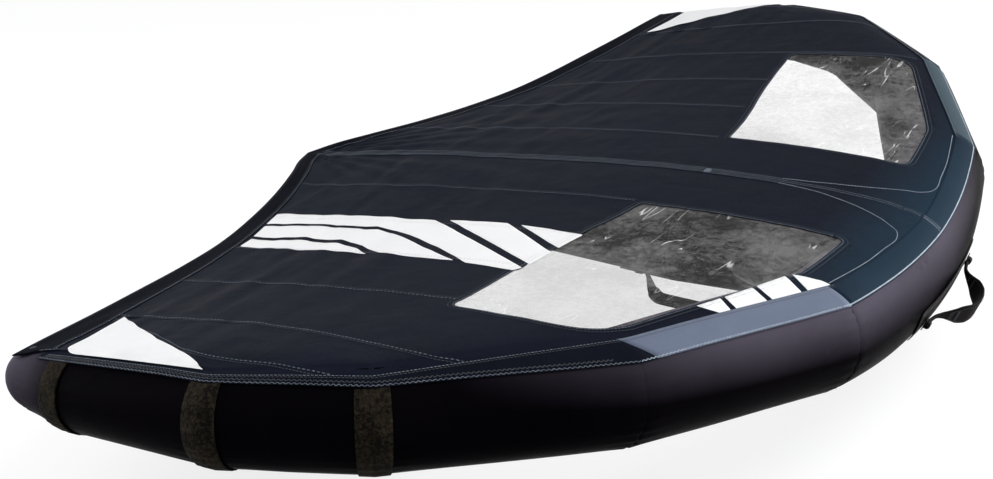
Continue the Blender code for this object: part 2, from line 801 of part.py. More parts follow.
def handle_lift():
    """Height of a handle's axis over the surface that its patch is sewn on."""
    return LAP_GAP + PATCH_THICKNESS + HANDLE_CLEARANCE + KEEPER_FIT_SHARE * HANDLE_TAIL_WIDTH


def front_handle_axis():
    """Middle of the line that the front handle turns on, at its two rolled ends."""
    lift = handle_lift()
    place = (FRONT_HANDLE_HALF - 0.5 * HANDLE_TAIL_LENGTH) / joint_point(1).x
    point = tube_point(place, FRONT_HANDLE_DEGREES, lift)
    return Vector((0.0, point.y, point.z))


def front_handle(collection):
    axis = front_handle_axis()
    angle = math.radians(FRONT_HANDLE_DEGREES)
    outward = Vector((0.0, math.cos(angle), math.sin(angle)))
    normal = ACROSS.cross(outward)
    end = FRONT_HANDLE_HALF
    half = []
    for across, tails, out, wide, thick in FRONT_HANDLE_SHARES:
        half.append((
            across * end + tails * HANDLE_TAIL_LENGTH,
            out * FRONT_HANDLE_REACH,
            HANDLE_TAIL_WIDTH + (WEBBING_WIDTH - HANDLE_TAIL_WIDTH) * wide,
            HANDLE_TAIL_WIDTH + (WEBBING_THICKNESS - HANDLE_TAIL_WIDTH) * thick,
        ))
    whole = half + [(-across, *rest) for across, *rest in reversed(half)]
    path = [axis + ACROSS * across + outward * out for across, out, _, _ in whole]
    sizes = [(width, depth) for _, _, width, depth in whole]
    swept_strap("front_handle", path, normal, sizes, "webbing", collection, axis)
    for label, across in (("left", -end), ("right", end)):
        keeper("front_handle_keeper_" + label, axis + ACROSS * across, ACROSS, outward, collection)


def front_handle_patch(collection):
    reach = FRONT_PATCH_HALF / joint_point(1).x
    places = steps(-reach, reach, 8)
    places = sorted(set(places) | {-0.25, 0.25})
    low = FRONT_HANDLE_DEGREES - FRONT_PATCH_DEGREES
    degrees = steps(low, FRONT_HANDLE_DEGREES + FRONT_PATCH_DEGREES, 6)
    lift = LAP_GAP + 0.5 * PATCH_THICKNESS
    points = [signed_tube_point(place, turn, lift) for place in places for turn in degrees]
    faces = grid_faces(len(places), len(degrees))
    mesh = mesh_from("front_handle_patch", points, faces)
    item = add_object("front_handle_patch", mesh, "webbing", collection)
    thicken(item, PATCH_THICKNESS, 0.0)


def strut_belly(y, lift):
    return strut_point(strut_place(y), 270.0, lift)


def strut_handle_ends(index):
    centre = STRUT_HANDLE_CENTRE_SHARES[index] * CHORD_LENGTH
    return centre - 0.5 * STRUT_HANDLE_LENGTH, centre + 0.5 * STRUT_HANDLE_LENGTH


def strut_handle_axis(index):
    """The line under the strut's belly that a handle turns on: its two ends."""
    return [strut_belly(y, handle_lift()) for y in strut_handle_ends(index)]


def grip_level():
    """Height of both grips' middles. The wing stands on the two, so they end level."""
    ends = [point.z for index in (0, 1) for point in strut_handle_axis(index)]
    return min(ends) - STRUT_HANDLE_DEPTH


def strut_handle(index, name, collection):
    front, rear = strut_handle_axis(index)
    tails = HANDLE_TAIL_LENGTH / (rear - front).length
    half = [(along * tails, deep, wide, thick) for along, deep, wide, thick in STRUT_HANDLE_SHARES]
    whole = half + [(1.0 - along, *rest) for along, *rest in reversed(half)]
    path = []
    for along, deep, _, _ in whole:
        point = front.lerp(rear, along)
        point.z += (grip_level() - point.z) * deep
        path.append(point)
    sizes = []
    for _, _, wide, thick in whole:
        width = HANDLE_TAIL_WIDTH + (GRIP_WIDTH - HANDLE_TAIL_WIDTH) * wide
        sizes.append((width, HANDLE_TAIL_WIDTH + (GRIP_THICKNESS - HANDLE_TAIL_WIDTH) * thick))
    swept_strap(name, path, ACROSS, sizes, "grip", collection, front)


def strut_handle_patch(index, name, collection):
    front, rear = strut_handle_ends(index)
    first = strut_place(front - STRUT_PATCH_OVERRUN)
    last = strut_place(rear + STRUT_PATCH_OVERRUN)
    places = [first] + [0.5 * k for k in range(1, 12) if first < 0.5 * k < last] + [last]
    turns = steps(270.0 - STRUT_PATCH_DEGREES, 270.0 + STRUT_PATCH_DEGREES, 4)
    lift = LAP_GAP + 0.5 * PATCH_THICKNESS
    points = [strut_point(place, turn, lift) for place in places for turn in turns]
    faces = grid_faces(len(places), len(turns))
    item = add_object(name, mesh_from(name, points, faces), "webbing", collection)
    thicken(item, PATCH_THICKNESS, 0.0)


def outline_plate(name, outline, depth, finish, collection, matrix, origin=None):
    """A flat outline extruded both ways by half its depth, then set in place."""
    shape = bmesh.new()
    corners = [shape.verts.new((x, y, -0.5 * depth)) for x, y in outline]
    face = shape.faces.new(corners)
    pushed = bmesh.ops.extrude_face_region(shape, geom=[face])
    moved = [part for part in pushed["geom"] if isinstance(part, bmesh.types.BMVert)]
    bmesh.ops.translate(shape, verts=moved, vec=(0.0, 0.0, depth))
    bmesh.ops.recalc_face_normals(shape, faces=shape.faces)
    mesh = bpy.data.meshes.new(name)
    shape.to_mesh(mesh)
    shape.free()
    mesh.transform(matrix)
    return add_object(name, mesh, finish, collection, origin)


def frame_matrix(place, across, along, normal):
    """Local x, y and z axes as given, at a place."""
    turned = Matrix((across, along, normal)).transposed()
    return Matrix.Translation(place) @ turned.to_4x4()


def keeper(name, point, along, outward, collection):
    """A sewn loop that holds a handle's rolled end against its patch."""
    inner = KEEPER_FIT_SHARE * HANDLE_TAIL_WIDTH + SEAM_GAP
    outer = inner + KEEPER_THICKNESS
    wide = outer + KEEPER_FLANGE_WIDTH
    top = inner
    outline = [(-wide, top), (-inner, top)]
    outline += arc_points((0.0, 0.0), inner, 180.0, 360.0, 8)
    outline += [(inner, top), (wide, top), (wide, top - KEEPER_THICKNESS), (outer, top - KEEPER_THICKNESS)]
    outline += arc_points((0.0, 0.0), outer, 360.0, 180.0, 8)
    outline += [(-outer, top - KEEPER_THICKNESS), (-wide, top - KEEPER_THICKNESS)]
    inward = -outward
    across = inward.cross(along).normalized()
    matrix = frame_matrix(point, across, inward, along)
    outline_plate(name, outline, KEEPER_LENGTH, "webbing", collection, matrix)


def strut_handles(collection):
    for index, label in enumerate(("front", "rear")):
        name = "strut_handle_" + label
        strut_handle(index, name, collection)
        strut_handle_patch(index, name + "_patch", collection)
        front, rear = strut_handle_axis(index)
        along = (rear - front).normalized()
        outward = along.cross(ACROSS).normalized()
        outward = outward if outward.z < 0.0 else -outward
        keeper(name + "_keeper_a", front, along, outward, collection)
        keeper(name + "_keeper_b", rear, along, outward, collection)


# Valve

def turned(name, profile, finish, collection, matrix, sides, origin=None):
    """A closed profile of radius and height, turned about local z."""
    mesh = bpy.data.meshes.new(name)
    points = []
    for degrees in ring_degrees(sides):
        angle = math.radians(degrees)
        points += [Vector((r * math.cos(angle), r * math.sin(angle), h)) for r, h in profile]
    count = len(profile)
    closed = min(r for r, _ in profile) > 0.0
    faces = []
    for row in range(sides):
        nxt = (row + 1) % sides
        for column in range(count if closed else count - 1):
            right = (column + 1) % count
            here, there = row * count, nxt * count
            faces.append((here + column, here + right, there + right, there + column))
    mesh.from_pydata([tuple(point) for point in points], [], faces)
    shape = bmesh.new()
    shape.from_mesh(mesh)
    bmesh.ops.remove_doubles(shape, verts=shape.verts, dist=WELD_DISTANCE)
    bmesh.ops.dissolve_degenerate(shape, dist=THIN_EDGE_LENGTH, edges=shape.edges)
    bmesh.ops.recalc_face_normals(shape, faces=shape.faces)
    shape.to_mesh(mesh)
    shape.free()
    mesh.transform(matrix)
    return add_object(name, mesh, finish, collection, origin)


def valve_frame():
    base = tube_point(VALVE_JOINT, VALVE_DEGREES, 0.0)
    outer = tube_point(VALVE_JOINT, VALVE_DEGREES, VALVE_NECK_HEIGHT)
    normal = (outer - base).normalized()
    along = tube_direction(VALVE_JOINT)
    across = normal.cross(along).normalized()
    along = across.cross(normal)
    return base, along, across, normal


def valve(collection, guides, sleeve, bladder):
    base, along, across, normal = valve_frame()
    matrix = frame_matrix(base, along, across, normal)
    wide = VALVE_SPIGOT_RADIUS + VALVE_HOLE_CLEARANCE
    deep = -3.0 * VALVE_SPIGOT_DEPTH
    hole = turned(
        "valve_hole_cutter",
        [(0.0, deep), (wide, deep), (wide, VALVE_SPIGOT_DEPTH), (0.0, VALVE_SPIGOT_DEPTH)],
        "plastic", guides, matrix, 20)
    cut(sleeve, hole)
    cut(bladder, hole)

    low = SEAM_GAP
    top = low + VALVE_FLANGE_THICKNESS
    rim = low + VALVE_NECK_HEIGHT
    seat = VALVE_BORE_RADIUS - VALVE_LIP_WIDTH
    body = [
        (VALVE_SPIGOT_RADIUS, -VALVE_SPIGOT_DEPTH), (VALVE_SPIGOT_RADIUS, low), (VALVE_FLANGE_RADIUS, low),
        (VALVE_FLANGE_RADIUS, top), (VALVE_NECK_RADIUS, top), (VALVE_NECK_RADIUS, rim),
        (VALVE_BORE_RADIUS, rim), (VALVE_BORE_RADIUS, SEAT_HEIGHT + SEAT_THICKNESS),
        (seat, SEAT_HEIGHT + SEAT_THICKNESS), (seat, SEAT_HEIGHT),
        (VALVE_BORE_RADIUS, SEAT_HEIGHT), (VALVE_BORE_RADIUS, -VALVE_SPIGOT_DEPTH),
    ]
    valve_body = turned("valve_body", body, "plastic", collection, matrix, 24)
    span = 0.5 * (VALVE_BORE_RADIUS + VALVE_NECK_RADIUS)
    half = 0.5 * GUIDE_WIDTH
    bar = [(-span, -half), (span, -half), (span, half), (-span, half)]
    shift = Matrix.Translation((0.0, 0.0, GUIDE_HEIGHT + 0.5 * GUIDE_THICKNESS))
    guide = outline_plate("valve_guide", bar, GUIDE_THICKNESS, "plastic", guides, matrix @ shift)
    cut(valve_body, guide, "UNION")
    eye = PLUNGER_STEM_RADIUS + PLUNGER_CLEARANCE
    bore = [(0.0, SEAT_HEIGHT), (eye, SEAT_HEIGHT), (eye, rim), (0.0, rim)]
    cut(valve_body, turned("valve_stem_cutter", bore, "plastic", guides, matrix, 16))

    disc = VALVE_BORE_RADIUS - PLUNGER_CLEARANCE
    lift = SEAT_HEIGHT - SEAM_GAP
    under = lift - PLUNGER_THICKNESS
    tip = under + PLUNGER_STEM_HEIGHT
    plunger = [
        (0.0, under), (disc, under), (disc, lift), (PLUNGER_STEM_RADIUS, lift), (PLUNGER_STEM_RADIUS, tip),
        (0.0, tip),
    ]
    turned("valve_plunger", plunger, "silicone", collection, matrix, 20, base)

    cap_low = rim + SEAM_GAP
    cap_radius = VALVE_NECK_RADIUS + CAP_OVERHANG
    outline = arc_points((0.0, 0.0), cap_radius, 100.0, 440.0, 20)
    ear_end = cap_radius + CAP_EAR_LENGTH
    outline += [(0.5 * CAP_EAR_LENGTH, ear_end), (-0.5 * CAP_EAR_LENGTH, ear_end)]
    shift = Matrix.Translation((0.0, 0.0, cap_low + 0.5 * CAP_THICKNESS))
    pivot = matrix @ Vector((0.0, cap_radius + CAP_EAR_LENGTH, cap_low + 0.5 * CAP_THICKNESS))
    outline_plate("valve_cap", outline, CAP_THICKNESS, "plastic", collection, matrix @ shift, pivot)

    bracket_radius = cap_radius + CAP_EAR_LENGTH
    stand = cap_low - SEAM_GAP
    root = 0.5 * (VALVE_BORE_RADIUS + VALVE_NECK_RADIUS)
    shelf = 0.5 * (low + top)
    post = [
        (root, shelf), (bracket_radius + CAP_EAR_RADIUS, shelf),
        (bracket_radius + CAP_EAR_RADIUS, stand), (bracket_radius - CAP_EAR_RADIUS, stand),
        (bracket_radius - CAP_EAR_RADIUS, top + VALVE_FLANGE_THICKNESS),
        (root, top + VALVE_FLANGE_THICKNESS),
    ]
    side_frame = frame_matrix(base, across, normal, across.cross(normal))
    bracket = outline_plate("valve_bracket", post, CAP_EAR_LENGTH, "plastic", guides, side_frame)
    cut(valve_body, bracket, "UNION")


# Hose and clip

def hose_route():
    """Ends and tangents of the hose: from the nose tube to the side of the strut."""
    start = tube_point(HOSE_FROM_JOINT, HOSE_FROM_DEGREES, LAP_GAP, -1)
    above = tube_point(HOSE_FROM_JOINT, HOSE_FROM_DEGREES, HOSE_REACH, -1)
    place = strut_place(HOSE_TO_SHARE * CHORD_LENGTH)
    finish = strut_point(place, 180.0, LAP_GAP)
    beside = strut_point(place, 180.0, HOSE_REACH)
    return start, above, beside, finish


def cubic_point(corners, part):
    a, b, c, d = corners
    rest = 1.0 - part
    return a * rest ** 3 + b * (3 * rest ** 2 * part) + c * (3 * rest * part ** 2) + d * part ** 3


def hose_path(corners):
    """The hose's middle line, straight through the collar at either end."""
    start, above, beside, finish = corners
    first = start + (above - start).normalized() * HOSE_STRAIGHT_LENGTH
    last = finish + (beside - finish).normalized() * HOSE_STRAIGHT_LENGTH
    inner = [cubic_point((first, above, beside, last), step / HOSE_STEPS) for step in range(HOSE_STEPS + 1)]
    return [start] + inner + [finish]


def hose(collection, guides, fed):
    """The hose, its two collars, and the ports under them in the pieces it feeds."""
    corners = hose_route()
    points = []
    across = ACROSS
    path = hose_path(corners)
    for index, point in enumerate(path):
        before, after = path[max(0, index - 1)], path[min(len(path) - 1, index + 1)]
        along = (after - before).normalized()
        across = (across - along * across.dot(along)).normalized()
        other = along.cross(across)
        for degrees in ring_degrees(HOSE_SIDES):
            angle = math.radians(degrees)
            points.append(point + (across * math.cos(angle) + other * math.sin(angle)) * HOSE_RADIUS)
    faces = grid_faces(len(path), HOSE_SIDES, wrap=True)
    item = add_object("connecting_hose", mesh_from("connecting_hose", points, faces), "hose", collection)
    thicken(item, HOSE_WALL, -1.0)

    start, above, beside, finish = corners
    for name, foot, towards in (("hose_collar_tube", start, above), ("hose_collar_strut", finish, beside)):
        normal = (towards - foot).normalized()
        across = normal.cross(UP).normalized()
        matrix = frame_matrix(foot, across, normal.cross(across), normal)
        inner = HOSE_RADIUS + 2.0 * SEAM_GAP
        ring = [(COLLAR_RADIUS, 0.0), (COLLAR_RADIUS, 0.4 * COLLAR_HEIGHT),
                (inner + CLIP_WALL, COLLAR_HEIGHT), (inner, COLLAR_HEIGHT), (inner, 0.0)]
        turned(name, ring, "plastic", collection, matrix, 20)
        bore = HOSE_RADIUS - HOSE_WALL
        deep = PORT_DEPTH
        port = [(0.0, -deep), (bore, -deep), (bore, COLLAR_HEIGHT), (0.0, COLLAR_HEIGHT)]
        cutter = turned(name + "_cutter", port, "plastic", guides, matrix, 16)
        for item in fed[name]:
            cut(item, cutter)


def clip_frame():
    path = hose_path(hose_route())
    half = len(path) // 2
    middle = path[half]
    along = (path[half + 1] - path[half - 1]).normalized()
    across = along.cross(UP).normalized()
    upward = across.cross(along).normalized()
    return middle, across, upward, along


def hose_clip(collection):
    middle, across, upward, along = clip_frame()
    matrix = frame_matrix(middle, across, upward, across.cross(upward))
    inner = HOSE_RADIUS + 2.0 * SEAM_GAP
    outer = inner + CLIP_WALL
    top = HOSE_RADIUS + CLIP_ARM_LENGTH
    outline = [(-outer, top), (-inner, top)]
    outline += arc_points((0.0, 0.0), inner, 180.0, 360.0, 8)
    outline += [(inner, top), (outer, top)]
    outline += arc_points((0.0, 0.0), outer, 360.0, 180.0, 8)
    outline_plate("hose_clip", outline, CLIP_LENGTH, "plastic", collection, matrix)

    pivot_local = Vector((-inner - 0.5 * CLIP_WALL, top + SEAM_GAP + 0.5 * CLIP_LEVER_THICKNESS, 0.0))
    half = 0.5 * CLIP_LEVER_THICKNESS
    bar = arc_points((0.0, 0.0), half, 90.0, 270.0, 4)
    bar += arc_points((CLIP_LEVER_LENGTH, 0.0), half, -90.0, 90.0, 4)
    turn = Matrix.Rotation(math.radians(CLIP_OPEN_DEGREES), 4, "Z")
    place = matrix @ Matrix.Translation(pivot_local) @ turn
    outline_plate("hose_clip_lever", bar, CLIP_LENGTH, "plastic", collection, place, matrix @ pivot_local)


# Zip

def zip_strip(collection):
    places = sorted({ZIP_FROM_JOINT, 1.25, 1.5, 1.75, ZIP_TO_JOINT})
    lift = LAP_GAP + 0.5 * ZIP_THICKNESS
    points = []
    for place in places:
        half = math.degrees(0.5 * ZIP_WIDTH / tube_centre(place)[1])
        for degrees in steps(ZIP_DEGREES - half, ZIP_DEGREES + half, 4):
            points.append(tube_point(place, degrees, lift, 1))
    mesh = mesh_from("zip_tape", points, grid_faces(len(places), 5))
    item = add_object("zip_tape", mesh, "webbing", collection)
    thicken(item, ZIP_THICKNESS, 0.0)


def slider_frame():
    lift = LAP_GAP + ZIP_THICKNESS + LAP_GAP
    near = tube_point(ZIP_FROM_JOINT + SLIDER_LENGTH * joint_step(1), ZIP_DEGREES, lift)
    far = tube_point(ZIP_TO_JOINT - SLIDER_LENGTH * joint_step(1), ZIP_DEGREES, lift)
    run = (far - near).normalized()
    outside = tube_point(ZIP_FROM_JOINT, ZIP_DEGREES, 2.0 * lift)
    outside -= tube_point(ZIP_FROM_JOINT, ZIP_DEGREES, lift)
    across = run.cross(outside).normalized()
    normal = across.cross(run).normalized()
    return near, far, run, across, normal


def zip_slider(collection):
    near, far, run, across, normal = slider_frame()
    half_length, half_width = 0.5 * SLIDER_LENGTH, 0.5 * SLIDER_WIDTH
    waist = 0.7 * half_width
    outline = [(-half_length, -waist), (0.0, -half_width), (half_length, -half_width),
               (half_length, half_width), (0.0, half_width), (-half_length, waist)]
    place = near + normal * (0.5 * SLIDER_HEIGHT + LAP_GAP)
    matrix = frame_matrix(place, run, across, run.cross(across))
    outline_plate("zip_slider", outline, SLIDER_HEIGHT, "plastic", collection, matrix, place)


# The whole wing

def stand_on_plane(collection):
    """Parent every piece to one empty that centres the wing over the origin."""
    bpy.context.view_layer.update()
    graph = bpy.context.evaluated_depsgraph_get()
    low, high = Vector((1e9, 1e9, 1e9)), Vector((-1e9, -1e9, -1e9))
    for item in collection.objects:
        shown = item.evaluated_get(graph)
        mesh = shown.to_mesh()
        for vertex in mesh.vertices:
            point = item.matrix_world @ vertex.co
            for axis in range(3):
                low[axis] = min(low[axis], point[axis])
                high[axis] = max(high[axis], point[axis])
        shown.to_mesh_clear()
    stand = bpy.data.objects.new("wing_stand", None)
    bpy.context.scene.collection.objects.link(stand)
    stand.location = (-0.5 * (low.x + high.x), -0.5 * (low.y + high.y), -low.z)
    return stand


def main():
    clear_scene()
    wing = new_collection("wingfoil_wing")
    guides = new_collection("cutters")

    centre = mitred_panel("leading_edge_centre", centre_places(), wing)
    names = ("leading_edge_mid_", "leading_edge_outer_", "leading_edge_bend_", "leading_edge_end_")
    for side, label in ((-1, "left"), (1, "right")):
        for index, name in enumerate(names, start=1):
            mitred_panel(name + label, panel_places(index), wing, side)
        tip_cone("tip_cone_" + label, panel_places(5), wing, side)
        canopy_side(side, label, wing)
        trailing_band(side, label, wing)
        load_band(side, label, wing)
        for joint in SCUFF_JOINTS:
            scuff_band(joint, side, label, wing)
    bladder = leading_edge_bladder(wing)
    strut = strut_sleeve(wing)
    strut_inner = strut_bladder(wing)
    strut_tail_cap(wing)
    strut_web(wing)
    front_handle_patch(wing)
    front_handle(wing)
    strut_handles(wing)
    valve(wing, guides, centre, bladder)
    hose(wing, guides, {"hose_collar_tube": (centre, bladder), "hose_collar_strut": (strut, strut_inner)})
    hose_clip(wing)
    zip_strip(wing)
    zip_slider(wing)

    stand = stand_on_plane(wing)
    for item in list(wing.objects) + list(guides.objects):
        item.parent = stand


main()
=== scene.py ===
# The wingfoil wing as it looks: cloth, film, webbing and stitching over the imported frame.

import math

import bmesh
import bpy
from mathutils import Matrix, Vector, noise
from mathutils.bvhtree import BVHTree


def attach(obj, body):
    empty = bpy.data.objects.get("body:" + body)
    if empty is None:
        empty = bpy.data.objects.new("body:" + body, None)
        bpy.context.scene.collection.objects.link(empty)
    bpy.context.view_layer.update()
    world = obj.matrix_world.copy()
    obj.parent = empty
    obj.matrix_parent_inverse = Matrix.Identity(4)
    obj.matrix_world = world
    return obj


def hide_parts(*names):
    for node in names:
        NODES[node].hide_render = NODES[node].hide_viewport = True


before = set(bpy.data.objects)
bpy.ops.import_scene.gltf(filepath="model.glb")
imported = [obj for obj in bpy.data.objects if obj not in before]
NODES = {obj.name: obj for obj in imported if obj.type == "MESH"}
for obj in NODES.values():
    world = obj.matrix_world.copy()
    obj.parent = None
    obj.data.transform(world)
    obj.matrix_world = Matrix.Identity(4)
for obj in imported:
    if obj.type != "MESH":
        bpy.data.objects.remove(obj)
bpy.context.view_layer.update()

# The same sizes as the frame's source, in metres. The tables are shares of them
HALF_SPAN, CHORD, ARCH_RISE = 1.12, 1.36, 0.095
NOSE_HEIGHT, NOSE_RADIUS, CAMBER = 0.0225, 0.101, 0.041
# The tube's joints from the nose outward: place, and radius as a share of the nose's
JOINT_X = (0.0, 0.3586, 0.6974, 0.9249, 1.0, 0.9899, 0.9865)
JOINT_Y = (-0.9481, -0.9261, -0.8138, -0.651, -0.5205, -0.3233, -0.262)
JOINT_Z = (0.0, 0.285, 0.769, 1.0, 0.911, 0.481, 0.42)
JOINT_R = (1.0, 0.907, 0.809, 0.7335, 0.6595, 0.5787, 0.4576)
BULGE = 0.012
# Degrees on the tube of the load band's two edges at each joint, and of the canopy's front end
FRONT_SEAM = (135.0, 133.0, 130.0, 122.0, 113.0, 115.0, 116.0)
INNER_SEAM = (112.0, 106.0, 100.0, 108.0, 101.0, 104.0, 106.0)
TOP_DEGREES = 92.0
# The trailing edge from the middle to the tip
TRAIL_X = (0.0, 0.061, 0.1215, 0.243, 0.364, 0.486, 0.607, 0.729, 0.85, 0.972, 1.014)
TRAIL_Y = (0.0, -0.0205, -0.047, -0.09, -0.125, -0.156, -0.179, -0.2, -0.222, -0.243, -0.25)
TRAIL_Z = (0.0, 0.072, 0.129, 0.179, 0.236, 0.337, 0.48, 0.66, 0.86, 1.07, 1.13)
# A rib starts at a place along the tube and ends at a share of the span, with its own camber
RIB_JOINTS = (0.0, 0.5, 1.0, 1.5, 2.0, 3.0, 4.0, 5.0, 5.6)
RIB_TRAIL = (0.0, 0.182, 0.3595, 0.5076, 0.674, 0.8865, 0.953, 0.992, 1.0115)
RIB_CAMBER = (1.0, 0.92, 0.83, 0.71, 0.58, 0.4, 0.27, 0.12, 0.02)
CAMBER_FRONT, CAMBER_REAR = 0.75, 1.15
# The windows, by side: -1 is the half that the photograph shows near
WINDOW_SHARES = (0.03, 0.35)
WINDOW_RIBS = {-1: (0.53, 2.1), 1: (0.5, 1.95)}
WINDOW_FRONT = {-1: (0.029, 0.014), 1: (0.033, 0.022)}  # start of the clear film at those two ribs
WINDOW_REAR = {  # and its end along the chord, at four ribs
    -1: ((0.53, 1.0, 1.57, 2.1), (0.334, 0.36, 0.34, 0.284)),
    1: ((0.5, 1.2, 1.6, 1.95), (0.328, 0.357, 0.35, 0.329)),
}
WINDOW_CORNERS = (0.022, 0.01, 0.016, 0.062)
HOLE_RIBS, HOLE_REACH, HOLE_MARGIN = (0.4, 2.25), 0.03, 0.004
FILM_LAP_RIB, FILM_LAP_FRONT, FILM_LAP_REAR = 0.045, 0.008, 0.013
FILM_DROP, FILM_CRUMPLE, FILM_TIGHT = 0.0008, 0.0018, 0.06  # under the canopy, crumples, tight margin
HEM_WIDTH, HEM_GROWTH = 0.038, 0.03
HEM_ROWS, HEM_EDGE_ROW = (0.0025, 0.007, None), 0.0045  # stitches from its front, and from its edge
SCUFF_WIDTH = 0.038
LAST_RIB = 5.6
STAND = Vector((0.0, 0.720437, 0.161359))
UP = Vector((0.0, 0.0, 1.0))

LAP_LIFT = 0.0009        # the canopy over the tube
BAND_LIFT = 0.0021       # the load band over the canopy
NOSE_BAND_LIFT = 0.0014  # and at the nose, where it lies flatter
SCUFF_LIFT = 0.0018
STITCH_LIFT = 0.0006     # thread over the cloth that it holds
CANOPY_WALL, WEBBING_WALL = 0.0006, 0.0013
THREAD_LIFT = 0.0004     # and on the flat canopy
SPACED = (0.0042, 0.003)  # length and gap of the longer stitches
HALVES = ((-1, "left"), (1, "right"))


# Tables

def table(values, place):
    index = max(0, min(int(place), len(values) - 2))
    part = place - index
    return values[index] * (1.0 - part) + values[index + 1] * part


def smooth_table(keys, values, key):
    index = 0
    while index < len(keys) - 2 and key > keys[index + 1]:
        index += 1
    slopes = [(values[i + 1] - values[i]) / (keys[i + 1] - keys[i]) for i in range(len(keys) - 1)]
    before, here = slopes[max(0, index - 1)], slopes[index]
    after = slopes[min(len(slopes) - 1, index + 1)]
    width = keys[index + 1] - keys[index]
    part = (key - keys[index]) / width
    start, end = 0.5 * (before + here) * width, 0.5 * (here + after) * width
    a, b = values[index], values[index + 1]
    return (
        a * (2 * part ** 3 - 3 * part ** 2 + 1) + start * (part ** 3 - 2 * part ** 2 + part)
        + b * (3 * part ** 2 - 2 * part ** 3) + end * (part ** 3 - part ** 2)
    )


# Leading edge tube

def joint_point(index):
    return Vector((JOINT_X[index] * HALF_SPAN, JOINT_Y[index] * CHORD,
                   NOSE_HEIGHT + JOINT_Z[index] * ARCH_RISE))


def tube_centre(place):
    index = max(0, min(int(place), len(JOINT_X) - 2))
    part = place - index
    bow = part * part if index == 0 else part
    near, far = joint_point(index), joint_point(index + 1)
    centre = near.lerp(far, bow)
    centre.x = near.x * (1.0 - part) + far.x * part
    share = JOINT_R[index] * (1.0 - bow) + JOINT_R[index + 1] * bow
    bulge = 0.0 if index == 0 else 4.0 * BULGE * part * (1.0 - part)
    return centre, NOSE_RADIUS * share * (1.0 + bulge)


def run_direction(index, part):
    run = joint_point(index + 1) - joint_point(index)
    if index == 0:
        return Vector((run.x, 2.0 * run.y * part, 2.0 * run.z * part)).normalized()
    return run.normalized()


def tube_direction(place):
    last = len(JOINT_X) - 2
    index = max(0, min(int(place), last))
    part = place - index
    here = run_direction(index, part)
    blend = 0.25
    if index > 0 and part < blend:
        return here.lerp(run_direction(index - 1, 1.0), 0.5 * (1.0 - part / blend)).normalized()
    if 0 < index + 1 <= last and part > 1.0 - blend:
        return here.lerp(run_direction(index + 1, 0.0), 0.5 * (1.0 - (1.0 - part) / blend)).normalized()
    return here


def tube_frame(place):
    centre, radius = tube_centre(abs(place))
    along = tube_direction(abs(place))
    outward = along.cross(UP).normalized()
    return centre, radius, outward, outward.cross(along)


def tube_point(place, degrees, lift=0.0, side=1):
    """A point on the tube in the row frame, on the half that place's sign or side says."""
    centre, radius, outward, upward = tube_frame(place)
    angle = math.radians(degrees)
    reach = radius + lift
    point = centre - outward * (reach * math.cos(angle)) + upward * (reach * math.sin(angle))
    point.x *= side * (1 if place >= 0 else -1)
    return point + STAND


def tube_normal(place, degrees, side=1):
    return (tube_point(place, degrees, 0.01, side) - tube_point(place, degrees, 0.0, side)).normalized()


# Canopy

def trailing_point(share):
    return Vector((share * HALF_SPAN, smooth_table(TRAIL_X, TRAIL_Y, share) * CHORD,
                   smooth_table(TRAIL_X, TRAIL_Z, share) * ARCH_RISE))


def camber_shape(share):
    """Height of the camber along the chord, 1 at its peak."""
    peak = CAMBER_FRONT / (CAMBER_FRONT + CAMBER_REAR)
    highest = peak ** CAMBER_FRONT * (1.0 - peak) ** CAMBER_REAR
    return share ** CAMBER_FRONT * (1.0 - share) ** CAMBER_REAR / highest


_fronts = {}


def front_point(place):
    key = round(place, 5)
    if key not in _fronts:
        _fronts[key] = tube_point(abs(place), TOP_DEGREES, LAP_LIFT) - STAND
        if place < 0:
            _fronts[key].x *= -1
    return _fronts[key]


def soft_front(rib, share):
    """The front end of a rib's chord. Its corners at the joints fade out over the canopy."""
    reach = 0.45 * min(1.0, 3.0 * share)
    total, weight = Vector(), 0.0
    for step, part in ((-1.0, 1.0), (-0.5, 2.0), (0.0, 3.0), (0.5, 2.0), (1.0, 1.0)):
        total += front_point(min(LAST_RIB, rib + step * reach)) * part
        weight += part
    mixed = total / weight
    exact = front_point(rib)
    return exact.lerp(mixed, min(1.0, 4.0 * share))


def creases(x, y):
    """Height of the soft folds over the flat canopy, in metres, at a place in the plan: a fan round the
    nose, broad swells, drawn folds across the rear and fine crumples."""
    radius = math.hypot(x, y - STAND.y)
    turn = math.atan2(abs(x), STAND.y - y)
    fan = math.sin(turn * 34.0 + 2.5 * noise.noise(Vector((x * 5.0, y * 5.0, 0.3))))
    fan *= 0.0024 * math.exp(-radius / 0.34) * min(1.0, radius / 0.06)
    broad = 0.0022 * noise.noise(Vector((x * 3.2, y * 4.1, 1.7)))
    rear = min(1.0, max(0.25, (y + 0.15) / 0.45))
    slant = y + 0.14 * abs(x)
    drawn = rear * (0.0034 * noise.noise(Vector((x * 3.4, slant * 22.0, 4.2)))
                    + 0.0012 * noise.noise(Vector((x * 7.0, slant * 47.0, 2.6))))
    fine = 0.0005 * noise.noise(Vector((x * 26.0, y * 30.0, 9.1)))
    return fan + broad + drawn + fine


